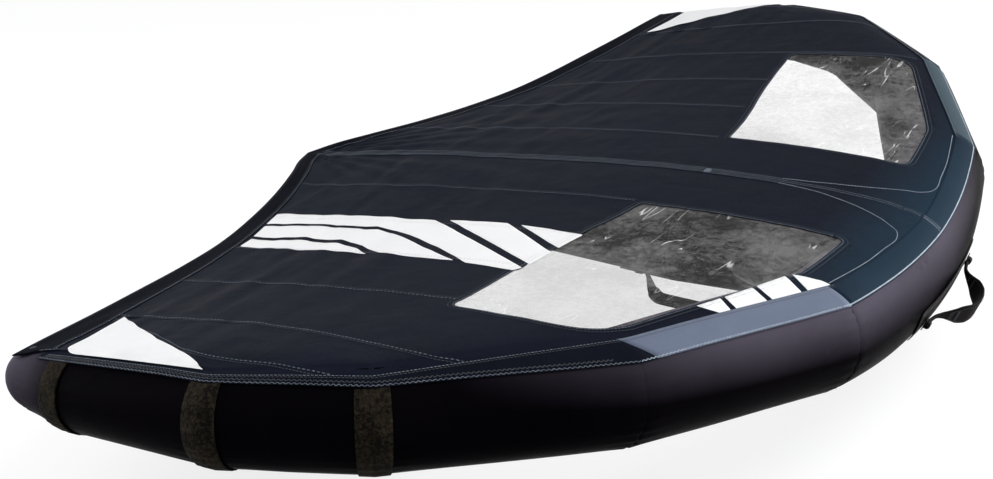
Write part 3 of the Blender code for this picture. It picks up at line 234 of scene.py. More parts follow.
def canopy_point(rib, share, side=1, lift=0.0):
    """A point of the canopy in the row frame. Below zero it lies on the tube, up to -1 at the front seam."""
    if share <= 0.0:
        front = table(FRONT_SEAM, rib)
        return tube_point(rib, TOP_DEGREES - (front - TOP_DEGREES) * share, LAP_LIFT + lift, side)
    front = soft_front(rib, share)
    rear = trailing_point(smooth_table(RIB_JOINTS, RIB_TRAIL, rib))
    point = front.lerp(rear, share)
    point.z += CAMBER * smooth_table(RIB_JOINTS, RIB_CAMBER, rib) * camber_shape(share)
    point += STAND
    point.x *= side
    fade = min(1.0, 12.0 * share) * min(1.0, 25.0 * (1.0 - share))
    point.z += fade * creases(point.x, point.y) + lift
    return point


# Meshes and pieces

def add_piece(name, points, faces, look, body="wing", slot=None, stands_for=(), smooth=None, thickness=0.0,
              offset=0.0, materials=()):
    mesh = bpy.data.meshes.new(name)
    mesh.from_pydata([tuple(point) for point in points], [], faces)
    mesh.validate()
    item = bpy.data.objects.new(name, mesh)
    bpy.context.scene.collection.objects.link(item)
    mesh.materials.append(look)
    for extra in materials:
        mesh.materials.append(extra)
    mesh.shade_smooth()
    if smooth is not None:
        mesh.set_sharp_from_angle(angle=math.radians(smooth))
    if thickness:
        wall = item.modifiers.new("wall", "SOLIDIFY")
        wall.thickness = thickness
        wall.offset = offset
    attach(item, body)
    if stands_for:
        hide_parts(*stands_for)
    return item


def heading(path, index):
    """The direction of a path at one of its points."""
    return (path[min(index + 1, len(path) - 1)] - path[max(index - 1, 0)]).normalized()


def turned(degrees):
    """Cosine and sine of an angle in degrees."""
    return math.cos(math.radians(degrees)), math.sin(math.radians(degrees))


def grid_faces(rows, columns, wrap=False, flip=False):
    faces = []
    for row in range(rows - 1):
        here, there = row * columns, (row + 1) * columns
        for column in range(columns if wrap else columns - 1):
            right = (column + 1) % columns
            face = (here + column, here + right, there + right, there + column)
            faces.append(tuple(reversed(face)) if flip else face)
    return faces


def steps(first, last, count):
    return [first + (last - first) * step / count for step in range(count + 1)]


# Materials

def new_look(name, colour, roughness, gloss=0.5, metallic=0.0):
    """A material. gloss is its specular level."""
    look = bpy.data.materials.new(name)
    look.use_nodes = True
    shader = look.node_tree.nodes["Principled BSDF"]
    shader.inputs["Base Color"].default_value = (*colour, 1.0)
    for key, value in (("Roughness", roughness), ("Specular IOR Level", gloss), ("Metallic", metallic)):
        shader.inputs[key].default_value = value
    return look


class Tree:
    """Short names for the nodes of one material, or of the world."""

    def __init__(self, look):
        self.nodes, self.links = look.node_tree.nodes, look.node_tree.links
        self.shader = self.nodes.get("Principled BSDF")
        self.place = self.nodes.new("ShaderNodeTexCoord").outputs["Object"]

    def node(self, kind, inputs=None, **settings):
        made = self.nodes.new(kind)
        for key, value in settings.items():
            setattr(made, key, value)
        for key, value in (inputs or {}).items():
            if isinstance(value, bpy.types.NodeSocket):
                self.links.new(value, made.inputs[key])
            else:
                made.inputs[key].default_value = value
        return made

    def mapped(self, scale):
        return self.node("ShaderNodeMapping", {"Vector": self.place, "Scale": scale}).outputs[0]

    def noise(self, scale, detail=2.0, vector=None, roughness=0.5, distortion=0.0):
        inputs = {"Vector": vector or self.place, "Scale": scale, "Detail": detail,
                  "Roughness": roughness, "Distortion": distortion}
        return self.node("ShaderNodeTexNoise", inputs).outputs["Fac"]

    def wave(self, scale, direction):
        inputs = {"Vector": self.place, "Scale": scale, "Distortion": 0.0, "Detail": 0.0}
        return self.node("ShaderNodeTexWave", inputs, bands_direction=direction).outputs["Fac"]

    def math(self, operation, a, b=0.0, c=0.0):
        return self.node("ShaderNodeMath", {0: a, 1: b, 2: c}, operation=operation).outputs[0]

    def ramp(self, value, low, high, to_low=0.0, to_high=1.0):
        inputs = {"Value": value, "From Min": low, "From Max": high, "To Min": to_low, "To Max": to_high}
        return self.node("ShaderNodeMapRange", inputs, clamp=True).outputs[0]

    def mix(self, share, a, b):
        a, b = [value if isinstance(value, bpy.types.NodeSocket) else (*value, 1.0) for value in (a, b)]
        return self.node("ShaderNodeMix", {0: share, 6: a, 7: b}, data_type="RGBA").outputs[2]

    def bump(self, height, strength, distance, after=None):
        inputs = {"Height": height, "Strength": strength, "Distance": distance}
        if after is not None:
            inputs["Normal"] = after
        return self.node("ShaderNodeBump", inputs).outputs[0]

    def set(self, name, value):
        self.links.new(value, self.shader.inputs[name])


# Where the painted sheen and the painted highlight lie, as ramps over places in the row frame
NOSE_AHEAD, NOSE_INBOARD = (-0.47, -0.66), (0.8, 0.3)
CROWN_ARCH, CROWN_TILT = -0.12, -0.15
CROWN_HEIGHT, CROWN_INBOARD = (0.186, 0.268), (1.0, 0.6)
TIP_AFT, TIP_OUTBOARD, TIP_HEIGHT = (0.29, 0.4), (0.9, 1.0), (0.17, 0.26)


def cloth_look(name, colour, pale, roughness, weave, weave_depth, wrinkle, nose=None, crown=None, **more):
    """Woven cloth: crossed threads, patchy colour, and creases. nose is a painted sheen at the nose,
    crown a painted highlight on the top of the middle panels and of the tips, each dark and pale."""
    look = new_look(name, colour, roughness, **more)
    tree = Tree(look)
    over = tree.wave(weave, direction="X")
    under = tree.wave(weave, direction="Y")
    threads = tree.math("MULTIPLY", over, under)
    patch = tree.noise(9.0, 4.0, roughness=0.6)
    depth = tree.math("MULTIPLY_ADD", threads, 0.35, tree.math("MULTIPLY", patch, 0.8))
    shade = tree.ramp(depth, 0.25, 0.95)
    dye_and_painted_sheen = tree.mix(shade, colour, pale)
    # Painted sheen: the colour turns teal towards the nose and the middle
    if nose:
        x, y, _ = tree.node("ShaderNodeSeparateXYZ", {"Vector": tree.place}).outputs
        ahead = tree.ramp(y, *NOSE_AHEAD)
        inboard = tree.ramp(tree.math("ABSOLUTE", x), *NOSE_INBOARD)
        dye_and_painted_sheen = tree.mix(tree.math("MULTIPLY", ahead, inboard), dye_and_painted_sheen, tree.mix(shade, *nose))
    # Painted highlight: a paler purple-grey on the top of the middle panels and of the tip cones, fading
    # towards the belly
    if crown:
        x, y, z = tree.node("ShaderNodeSeparateXYZ", {"Vector": tree.place}).outputs
        away = tree.math("ABSOLUTE", x)
        height = tree.math("MULTIPLY_ADD", tree.math("MULTIPLY", away, away), CROWN_ARCH, z)
        height = tree.math("MULTIPLY_ADD", tree.math("MAXIMUM", x, 0.0), CROWN_TILT, height)
        middle = tree.math("MULTIPLY", tree.ramp(away, *CROWN_INBOARD), tree.ramp(height, *CROWN_HEIGHT))
        aft = tree.math("MULTIPLY", tree.ramp(y, *TIP_AFT), tree.ramp(away, *TIP_OUTBOARD))
        ends = tree.math("MULTIPLY", aft, tree.ramp(z, *TIP_HEIGHT))
        dye_and_painted_sheen = tree.mix(tree.math("MAXIMUM", middle, ends), dye_and_painted_sheen, tree.mix(shade, *crown))
    tree.set("Base Color", dye_and_painted_sheen)
    tree.set("Roughness", tree.ramp(patch, 0.3, 0.75, roughness - 0.06, roughness + 0.07))
    folds = tree.noise(14.0, 5.0, roughness=0.62, distortion=0.6)
    low = tree.bump(folds, 0.55, wrinkle)
    tree.set("Normal", tree.bump(threads, 0.35, weave_depth, low))
    return look


def thread_look(name, colour, worn):
    """Twisted thread, dull where it is worn."""
    look = new_look(name, colour, 0.6, gloss=0.2)
    tree = Tree(look)
    tree.set("Base Color", tree.mix(tree.ramp(tree.noise(120.0, 3.0), 0.35, 0.65), colour, worn))
    tree.set("Normal", tree.bump(tree.wave(700.0, direction="DIAGONAL"), 0.4, 0.0002))
    return look


# A painted teal sheen, dark and pale, over the canopy, its tapes and the load band near the nose
NOSE_PAINTED_SHEEN = ((0.0105, 0.0265, 0.045), (0.021, 0.045, 0.072))
CANOPY_DYE = ((0.0044, 0.006, 0.0115), (0.0105, 0.0135, 0.0235))
CANOPY = cloth_look("canopy_ripstop", *CANOPY_DYE, 0.5, 900.0, 0.0002, 0.0046, NOSE_PAINTED_SHEEN,
                    gloss=0.009)
SEAM = cloth_look("seam_tape", *CANOPY_DYE, 0.52, 900.0, 0.0002, 0.0016, NOSE_PAINTED_SHEEN, gloss=0.009)
# The sleeve's crown colours are a painted purple-grey highlight, dark and pale
SLEEVE = cloth_look("sleeve_satin", (0.001, 0.0007, 0.0012), (0.003, 0.0023, 0.0038), 0.32, 1300.0,
                    0.0002, 0.0016, crown=((0.076, 0.066, 0.091), (0.122, 0.11, 0.148)),
                    gloss=0.0025)
BAND_NOSE = cloth_look("load_band_nose", *CANOPY_DYE, 0.5, 1300.0, 0.0002, 0.002, NOSE_PAINTED_SHEEN,
                       gloss=0.012)
# The load band's pale middle panel in two copies of one cloth: a lighter one with painted sheen for the near
# half, and a darker one with painted shade for the far half
BAND_MID_PAINTED_LIGHT = cloth_look("load_band_mid_painted_light", (0.105, 0.13, 0.19), (0.16, 0.19, 0.265), 0.4, 1300.0,
                      0.0002, 0.002, gloss=0.06)
BAND_MID_PAINTED_SHADE = cloth_look("load_band_mid_painted_shade", (0.028, 0.048, 0.064), (0.05, 0.078, 0.098), 0.45, 1300.0,
                      0.0002, 0.002, gloss=0.03)
BAND_TIP = cloth_look("load_band_tip", (0.0036, 0.0048, 0.009), (0.0085, 0.0108, 0.018), 0.5, 1300.0,
                      0.0002, 0.002, gloss=0.01)
HEM = cloth_look("hem_tape", (0.002, 0.0026, 0.0052), (0.0056, 0.0068, 0.012), 0.55, 900.0, 0.0003,
                 0.002, gloss=0.004)
WHITE = cloth_look("white_cloth", (0.86, 0.865, 0.88), (0.95, 0.955, 0.965), 0.5, 900.0, 0.0002, 0.003,
                   gloss=0.08)
WEBBING = cloth_look("webbing", (0.0034, 0.0026, 0.0026), (0.0125, 0.0098, 0.0096), 0.62, 420.0, 0.0006,
                     0.0008, gloss=0.03)
THREAD = thread_look("stitch_thread", (0.45, 0.52, 0.6), (0.3, 0.36, 0.44))
THREAD_DIM = thread_look("stitch_thread_dim", (0.2, 0.23, 0.27), (0.1, 0.12, 0.15))
THREAD_DARK = thread_look("stitch_thread_dark", (0.06, 0.068, 0.08), (0.034, 0.038, 0.046))


def scuff_look():
    look = new_look("scuff_cloth", (0.012, 0.009, 0.006), 0.8, gloss=0.05)
    tree = Tree(look)
    pebbles = tree.node("ShaderNodeTexVoronoi", {"Vector": tree.place, "Scale": 420.0}).outputs["Distance"]
    patch = tree.math("MULTIPLY_ADD", tree.noise(190.0, 3.0, roughness=0.7), 0.7,
                      tree.math("MULTIPLY", tree.noise(45.0), 0.3))
    tree.set("Base Color",
             tree.mix(tree.ramp(patch, 0.42, 0.66), (0.0022, 0.0018, 0.0014), (0.03, 0.023, 0.0145)))
    tree.set("Normal", tree.bump(pebbles, 0.9, 0.0012, tree.bump(patch, 0.5, 0.0015)))
    return look


def film_look():
    """Clear film: mostly seen through, milky in patches, with painted highlights along drawn creases."""
    look = new_look("window_film", (0.34, 0.34, 0.345), 0.14, gloss=0.35)
    tree = Tree(look)
    crumple = tree.noise(1.0, 2.0, vector=tree.mapped((4.5, 34.0, 8.0)), roughness=0.5, distortion=0.25)
    fine = tree.noise(40.0, 4.0, roughness=0.6, distortion=0.5)
    tree.set("Normal", tree.bump(fine, 0.3, 0.0012, tree.bump(crumple, 0.4, 0.006)))
    facing = tree.node("ShaderNodeLayerWeight", {"Blend": 0.22}).outputs["Facing"]
    ridge = tree.math("ABSOLUTE", tree.math("SUBTRACT", crumple, 0.53))
    # Painted highlight: near-white streaks along the crumples' ridges, more opaque than the rest of the film
    broken = tree.ramp(tree.noise(11.0, 3.0), 0.5, 0.6)
    painted_glint = tree.math("MULTIPLY", tree.ramp(ridge, 0.0, 0.016, 0.4, 0.0), broken)
    tree.set("Base Color", tree.mix(tree.ramp(painted_glint, 0.02, 0.2), (0.34, 0.335, 0.335), (0.86, 0.86, 0.86)))
    mottle = tree.math("MULTIPLY_ADD", tree.noise(75.0, 5.0, roughness=0.75), 0.5,
                       tree.math("MULTIPLY", tree.noise(7.5, 3.0), 0.5))
    haze = tree.ramp(mottle, 0.42, 0.6, 0.0, 0.3)
    tree.set("Alpha", tree.math("ADD", tree.math("ADD", painted_glint, haze),
                                tree.ramp(facing, 0.0, 1.0, 0.04, 0.16)))
    return look


def fine_look(name, colour, pale, roughness, grain, depth, **more):
    """Moulded plastic, rubber or foam: fine grain, and a little wear in its colour."""
    look = new_look(name, colour, roughness, **more)
    tree = Tree(look)
    speck = tree.noise(grain, 4.0, roughness=0.6)
    worn = tree.noise(38.0, 4.0, roughness=0.65)
    tree.set("Base Color", tree.mix(tree.ramp(worn, 0.38, 0.72), colour, pale))
    tree.set("Roughness", tree.ramp(worn, 0.3, 0.7, roughness - 0.05, roughness + 0.1))
    tree.set("Normal", tree.bump(speck, 0.45, depth))
    return look


PLASTIC = fine_look("moulded_plastic", (0.01, 0.01, 0.011), (0.024, 0.024, 0.026), 0.38, 900.0, 0.0002,
                    gloss=0.3)
FOAM = fine_look("grip_foam", (0.006, 0.006, 0.0068), (0.015, 0.015, 0.017), 0.82, 1500.0, 0.0006,
                 gloss=0.15)
RUBBER = fine_look("hose_rubber", (0.016, 0.016, 0.018), (0.034, 0.034, 0.038), 0.42, 1200.0, 0.0002,
                   gloss=0.3)
SILICONE = fine_look("valve_silicone", (0.2, 0.21, 0.23), (0.3, 0.31, 0.33), 0.5, 1000.0, 0.0001)
BLADDER = fine_look("bladder_film", (0.46, 0.5, 0.52), (0.6, 0.64, 0.66), 0.28, 300.0, 0.0006)
METAL = fine_look("zip_metal", (0.3, 0.3, 0.31), (0.46, 0.46, 0.47), 0.34, 1400.0, 0.0001, metallic=0.9)
SCUFF = scuff_look()
FILM = film_look()


# Canopy skin, one sheet with a hole for each window

def rib_stations(per_joint):
    marks = [0.0, 0.5, 1.0, 1.5, 2.0, 2.5, 3.0, 3.5, 4.0, 4.5, 5.0, LAST_RIB]
    ribs = []
    for first, last in zip(marks, marks[1:]):
        count = max(3, round(per_joint * (last - first)))
        ribs += steps(first, last, count)[:-1]
    return ribs + [LAST_RIB]


RIBS = rib_stations(34)
SHARES = [-1.0, -0.8, -0.6, -0.4, -0.2, 0.0] + steps(0.0, WINDOW_SHARES[0], 3)[1:]
SHARES += steps(*WINDOW_SHARES, 40)[1:] + steps(WINDOW_SHARES[1], 1.0, 90)[1:]
ROWS = [-rib for rib in reversed(RIBS[1:])] + list(RIBS)
SKIN_POINTS = [canopy_point(abs(rib), share, 1 if rib >= 0 else -1) for rib in ROWS for share in SHARES]
SKIN_FACES = grid_faces(len(ROWS), len(SHARES), flip=True)
SURFACE = BVHTree.FromPolygons(SKIN_POINTS, SKIN_FACES)


def on_canopy(x, y, lift=0.0):
    """The canopy's point over a place in the plan, raised by a lift, and its normal."""
    place, normal, _, _ = SURFACE.ray_cast(Vector((x, y, 3.0)), -UP)
    if place is None:
        place, normal, _, _ = SURFACE.find_nearest(Vector((x, y, 0.2)))
    if normal.z < 0.0:
        normal = -normal
    return place + normal * lift, normal


def softened(corners, radii, count=8):
    """A closed outline in the plan whose corners are rounded, each by its own radius."""
    outline = []
    for index, corner in enumerate(corners):
        radius = radii[index]
        here = Vector(corner)
        before, after = Vector(corners[index - 1]), Vector(corners[(index + 1) % len(corners)])
        if not radius:
            outline.append(here)
            continue
        start = here + (before - here).normalized() * min(radius, 0.49 * (before - here).length)
        end = here + (after - here).normalized() * min(radius, 0.49 * (after - here).length)
        for part in steps(0.0, 1.0, count):
            outline.append(start.lerp(here, part).lerp(here.lerp(end, part), part))
    return outline


def window_rear(side, rib):
    """Where the clear film ends along the chord."""
    ribs, shares = WINDOW_REAR[side]
    return smooth_table(ribs, shares, min(ribs[-1], max(ribs[0], rib)))


def window_outline(side):
    """The clear part of a window in the plan, between its four seams, with rounded corners."""
    (first, last), (low, far_low) = WINDOW_RIBS[side], WINDOW_FRONT[side]
    edges = [
        [(first, share) for share in steps(low, window_rear(side, first), 16)],
        [(rib, window_rear(side, rib)) for rib in steps(first, last, 30)],
        [(last, share) for share in steps(window_rear(side, last), far_low, 16)],
        list(zip(steps(last, first, 30), steps(far_low, low, 30))),
    ]
    radii = WINDOW_CORNERS
    trimmed = []
    for index, edge in enumerate(edges):
        track = [canopy_point(rib, share, side).xy for rib, share in edge]
        trimmed.append(cut_ends(track, radii[index], radii[(index + 1) % 4]))
    outline = []
    for index, track in enumerate(trimmed):
        outline += track
        after = trimmed[(index + 1) % 4]
        corner = canopy_point(*edges[index][-1], side).xy
        for part in steps(0.0, 1.0, 8)[1:-1]:
            outline.append(track[-1].lerp(corner, part).lerp(corner.lerp(after[0], part), part))
    return outline


def cut_ends(track, first, last):
    """The track without the given lengths at its two ends."""
    for length in (last, first):
        track = list(reversed(track))
        left = length
        while (track[1] - track[0]).length < left:
            left -= (track[1] - track[0]).length
            track.pop(0)
        track[0] = track[0].lerp(track[1], left / (track[1] - track[0]).length)
    return track


def inside(outline, x, y):
    found = False
    for a, b in zip(outline, outline[1:] + outline[:1]):
        if (a.y > y) != (b.y > y) and x < a.x + (y - a.y) * (b.x - a.x) / (b.y - a.y):
            found = not found
    return found


def distance_to(outline, x, y):
    place = Vector((x, y))
    best = 1.0
    for a, b in zip(outline, outline[1:] + outline[:1]):
        run = b - a
        part = max(0.0, min(1.0, (place - a).dot(run) / max(run.length_squared, 1e-12)))
        best = min(best, (place - a - run * part).length)
    return best


WINDOWS = {side: window_outline(side) for side in (-1, 1)}


def in_window(middle):
    side = -1 if middle.x < 0 else 1
    outline = WINDOWS[side]
    return inside(outline, middle.x, middle.y) or distance_to(outline, middle.x, middle.y) < HOLE_MARGIN


def canopy_skin():
    """One sheet for the whole canopy, with a hole for each window."""
    faces = []
    columns = len(SHARES)
    for face in SKIN_FACES:
        row, column = divmod(min(face), columns)
        rib = 0.5 * abs(ROWS[row] + ROWS[row + 1])
        if HOLE_RIBS[0] < rib < HOLE_RIBS[1] and 0.0 < SHARES[column] < WINDOW_SHARES[1] + HOLE_REACH:
            if in_window(sum((SKIN_POINTS[index] for index in face), Vector()) / 4.0):
                continue
        faces.append(face)
    names = [name for name in NODES if name.startswith("canopy_")]
    skin = add_piece("canopy_skin", SKIN_POINTS, faces, CANOPY, slot="canopy", stands_for=names)
    bm = bmesh.new()
    bm.from_mesh(skin.data)
    bmesh.ops.delete(bm, geom=[v for v in bm.verts if not v.link_faces], context="VERTS")
    area = sum(face.calc_area() for face in bm.faces)
    bm.to_mesh(skin.data)
    bm.free()
    wall = skin.modifiers.new("wall", "SOLIDIFY")
    wall.thickness = CANOPY_WALL
    wall.offset = -1.0
    return skin, area


SKIN, SKIN_AREA = canopy_skin()


def window_films():
    """Clear film sewn under each hole, drawn tight at its edges and crumpled between them."""
    for side, label in HALVES:
        ribs = steps(WINDOW_RIBS[side][0] - FILM_LAP_RIB, WINDOW_RIBS[side][1] + FILM_LAP_RIB, 110)
        points = []
        for rib in ribs:
            low, high = WINDOW_FRONT[side][1] - FILM_LAP_FRONT, window_rear(side, rib) + FILM_LAP_REAR
            shares = steps(low, high, 80)
            for share in shares:
                point = canopy_point(rib, share, side, -FILM_DROP)
                edge = min(rib - ribs[0], ribs[-1] - rib, 3.0 * (share - shares[0]),
                           3.0 * (shares[-1] - share))
                crumple = noise.noise(Vector((point.x * 8.0, point.y * 14.0, 3.3 + side)))
                crumple += 0.5 * noise.noise(Vector((point.x * 21.0, point.y * 30.0, 7.7 + side)))
                point.z += FILM_CRUMPLE * crumple * min(1.0, 8.0 * max(0.0, edge - FILM_TIGHT)) - 0.0002
                points.append(point)
        faces = grid_faces(len(ribs), len(shares), flip=side > 0)
        name = "window_film_" + label
        film = add_piece(name, points, faces, FILM, slot="film", stands_for=["window_" + label])


window_films()


# Stitches, tapes and sewn-on cloth

class Heap:
    """Points and faces of one piece that is made of many small parts."""

    def __init__(self):
        self.points, self.faces = [], []

    def add(self, points, faces):
        first = len(self.points)
        self.points += points
        self.faces += [tuple(first + index for index in face) for face in faces]

    def piece(self, name, look, body="wing", slot=None, **more):
        return add_piece(name, self.points, self.faces, look, body, slot, **more)

    def stitch(self, start, end, normal, width=0.0011, height=0.0005):
        run = end - start
        side = normal.cross(run).normalized() * (0.5 * width)
        inset, top = run * 0.15, normal * height
        corners = [start - side, start + side, end + side, end - side, start + inset + top,
                   end - inset + top]
        self.add(corners, [(0, 4, 1), (1, 4, 5, 2), (2, 5, 3), (3, 5, 4, 0)])

    def sew(self, track, length=0.0036, gap=0.0017, width=0.0011):
        """Straight stitches along a track of points and normals."""
        marks = resampled(track, length + gap)
        for (here, normal), (there, _) in zip(marks, marks[1:]):
            self.stitch(here, here.lerp(there, length / (length + gap)), normal, width)

    def zigzag(self, track, reach=0.0022, pitch=0.0034, width=0.0011):
        marks = resampled(track, pitch)
        corners = []
        for index, (point, normal) in enumerate(marks):
            along = marks[min(index + 1, len(marks) - 1)][0] - marks[max(index - 1, 0)][0]
            side = normal.cross(along).normalized()
            corners.append(point + side * (reach if index % 2 else -reach))
        for here, there, (_, normal) in zip(corners, corners[1:], marks):
            self.stitch(here.lerp(there, 0.06), here.lerp(there, 0.94), normal, width)

    def strip(self, rows, flip=False):
        """A strip from rows of points, one row for each step along it."""
        self.add([point for row in rows for point in row], grid_faces(len(rows), len(rows[0]), flip=flip))


def resampled(track, step):
    marks, walked, need = [track[0]], 0.0, step
    for (here, normal), (there, after) in zip(track, track[1:]):
        length = (there - here).length
        while length and need <= walked + length:
            part = (need - walked) / length
            marks.append((here.lerp(there, part), normal.lerp(after, part).normalized()))
            need += step
        walked += length
    return marks


def smooth_row(rows, place):
    """A row between the rows of a table, by the same smooth curve for each of its columns."""
    keys = range(len(rows))
    return [smooth_table(keys, [row[column] for row in rows], place) for column in range(len(rows[0]))]


def curved(corners, per=8):
    """A smooth track in the plan through its corners."""
    last = len(corners) - 1
    return [Vector(smooth_row(corners, place)) for place in steps(0.0, last, per * last)]


def mirrored(track, side):
    return [Vector((abs(point[0]) * side, point[1])) for point in track]


def beside(track, reach, closed=False):
    """The track in the plan moved sideways by a reach."""
    moved = []
    count = len(track)
    for index, point in enumerate(track):
        after = track[(index + 1) % count] if closed else track[min(index + 1, count - 1)]
        before = track[index - 1] if closed else track[max(index - 1, 0)]
        run = (after - before).normalized()
        moved.append(point + Vector((-run.y, run.x)) * reach)
    return moved


def laid(track, lift):
    """A track in the plan laid down on the canopy: points and normals."""
    dense = []
    for here, there in zip(track, track[1:]):
        count = max(1, round((there - here).length / 0.008))
        dense += [here.lerp(there, step / count) for step in range(count)]
    dense.append(track[-1])
    return [on_canopy(point.x, point.y, lift) for point in dense]


def tape(heap, track, edges, lift, closed=False):
    """A cloth tape on the canopy. edges are its two sides' distances from the track."""
    low, high = edges
    lip = 0.0016
    profile = [(low, 0.0001), (low + lip, lift), (0.5 * (low + high), lift), (high - lip, lift),
               (high, 0.0001)]
    lines = [beside(track, across, closed) for across, _ in profile]
    rows = []
    for index in list(range(len(track))) + ([0] if closed else []):
        rows.append([on_canopy(line[index].x, line[index].y, rise)[0]
                     for line, (_, rise) in zip(lines, profile)])
    heap.strip(rows)


def rib_track(rib, first, last, side, count=60):
    return [canopy_point(rib, share, side).xy for share in steps(first, last, count)]


# Tracks of the curved seams, in the plan in metres
NOSE_TURN = [(0.398, -0.561), (0.27, -0.582), (0.19, -0.59), (0.15, -0.595), (0.126, -0.594),
             (0.1, -0.584), (0.074, -0.548), (0.045, -0.49), (0.024, -0.42), (0.0115, -0.345)]
SEAM_OUTER = [(-0.945, 0.38), (-0.955, 0.088), (-0.98, -0.176), (-0.962, -0.262)]
SEAM_TIP = [(-0.96, 0.36), (-1.036, 0.2), (-1.093, 0.075), (-1.084, -0.065), (-1.075, -0.15)]
NOSE_ROWS = (0.004, 0.0115)  # the two rows of stitches along the middle, from the centre line
NOSE_TAPE = ((0.0, 0.0007), (0.008, 0.0007), (0.0155, 0.0006), (0.0165, 0.0))
NOSE_LAP = 112.0  # degrees on the tube where the canopy's middle stitches pass onto the load band
TAPE_LIFT, TAPE_HALF, TAPE_ROWS = 0.0003, 0.005, (0.003, -0.003)
FRAME_EDGES, FRAME_ROWS = (-0.0012, 0.012), (0.0022, 0.0095)  # round a window, from its outline
NOSE_THREAD_LIFT, NOSE_BARS = 0.0008, (-0.212, -0.204)


def nose_row(heap, first, last, lift, side):
    """Stitches round the nose tube beside the centre line, between two angles."""
    across = NOSE_ROWS[0] / joint_point(1).x
    heap.sew([(tube_point(across, turn, lift + STITCH_LIFT, side), tube_normal(across, turn, side))
              for turn in steps(first, last, 8)])


def canopy_seams():
    """Tapes and stitches along the panels' seams, round the windows and along the middle."""
    tapes, bright, pale, faint = Heap(), Heap(), Heap(), Heap()
    for side in (-1, 1):
        tracks = [
            rib_track(0.5, 0.347, 0.965, side),
            rib_track(1.0, 0.37, 0.965, side, 50),
            rib_track(1.5, 0.363, 0.965, side, 50),
            rib_track(2.0, 0.004 if side > 0 else 0.308, 0.96, side, 70),
            curved(mirrored(SEAM_OUTER, side)),
            curved(mirrored(SEAM_TIP, side)),
        ]
        for track in tracks:
            tape(tapes, track, (-TAPE_HALF, TAPE_HALF), TAPE_LIFT)
            pale.sew(laid(beside(track, TAPE_ROWS[0]), THREAD_LIFT), *SPACED)
            faint.sew(laid(beside(track, TAPE_ROWS[1]), THREAD_LIFT))
        ring = WINDOWS[side]
        turn = 1 if side > 0 else -1
        tape(tapes, ring, sorted(turn * edge for edge in FRAME_EDGES), TAPE_LIFT, closed=True)
        for reach, heap in zip(FRAME_ROWS, (pale, faint)):
            loop = beside(ring, turn * reach, closed=True)
            heap.sew(laid(loop + loop[:1], THREAD_LIFT))
        rear = canopy_point(0.0, 0.985).y
        bright.sew(laid(curved([(x * side, y) for x, y in NOSE_TURN]), NOSE_THREAD_LIFT))
        for x, first, last in ((NOSE_ROWS[1], NOSE_TURN[-1][1], rear),
                               (NOSE_ROWS[0], rear, canopy_point(0.0, 0.0).y)):
            pale.sew(laid([Vector((x * side, first)), Vector((x * side, last))], NOSE_THREAD_LIFT))
        nose_row(pale, TOP_DEGREES, NOSE_LAP, LAP_LIFT, side)
        nose_row(bright, NOSE_LAP, 134.0, NOSE_BAND_LIFT, side)
        tapes.strip([[on_canopy(x * side, y, lift)[0] for x, lift in NOSE_TAPE]
                     for y in steps(rear, NOSE_TURN[-1][1], 110)], flip=side > 0)
    for y in steps(*NOSE_BARS, 2):
        bright.stitch(on_canopy(-0.01, y, 0.0009)[0], on_canopy(0.01, y, 0.0009)[0], UP)
    tapes.piece("seam_tapes", SEAM, slot="canopy", smooth=60.0)
    bright.piece("nose_stitches", THREAD)
    pale.piece("canopy_stitches", THREAD_DIM)
    faint.piece("canopy_stitches_second_row", THREAD_DARK)


canopy_seams()


def sewn_cloth(name, outline, look, lift, cell=0.008):
    """A flat piece of cloth laid on the canopy, cut into small cells so that it follows the folds."""
    bm = bmesh.new()
    bm.faces.new([bm.verts.new((point[0], point[1], 0.0)) for point in outline])
    bmesh.ops.triangulate(bm, faces=bm.faces[:])
    for axis in (0, 1):
        low = min(point[axis] for point in outline)
        high = max(point[axis] for point in outline)
        normal = Vector((1.0, 0.0, 0.0)) if axis == 0 else Vector((0.0, 1.0, 0.0))
        for value in steps(low, high, max(2, round((high - low) / cell)))[1:-1]:
            geom = bm.verts[:] + bm.edges[:] + bm.faces[:]
            bmesh.ops.bisect_plane(bm, geom=geom, plane_co=normal * value, plane_no=normal)
    bmesh.ops.remove_doubles(bm, verts=bm.verts, dist=0.00002)
    bm.verts.ensure_lookup_table()
    bm.faces.ensure_lookup_table()
    points = [on_canopy(vert.co.x, vert.co.y, lift)[0] for vert in bm.verts]
    faces = []
    for face in bm.faces:
        order = [vert.index for vert in face.verts]
        if face.normal.z < 0.0:
            order.reverse()
        faces.append(tuple(order))
    bm.free()
    return add_piece(name, points, faces, look, slot="canopy", thickness=0.0003, offset=-1.0)


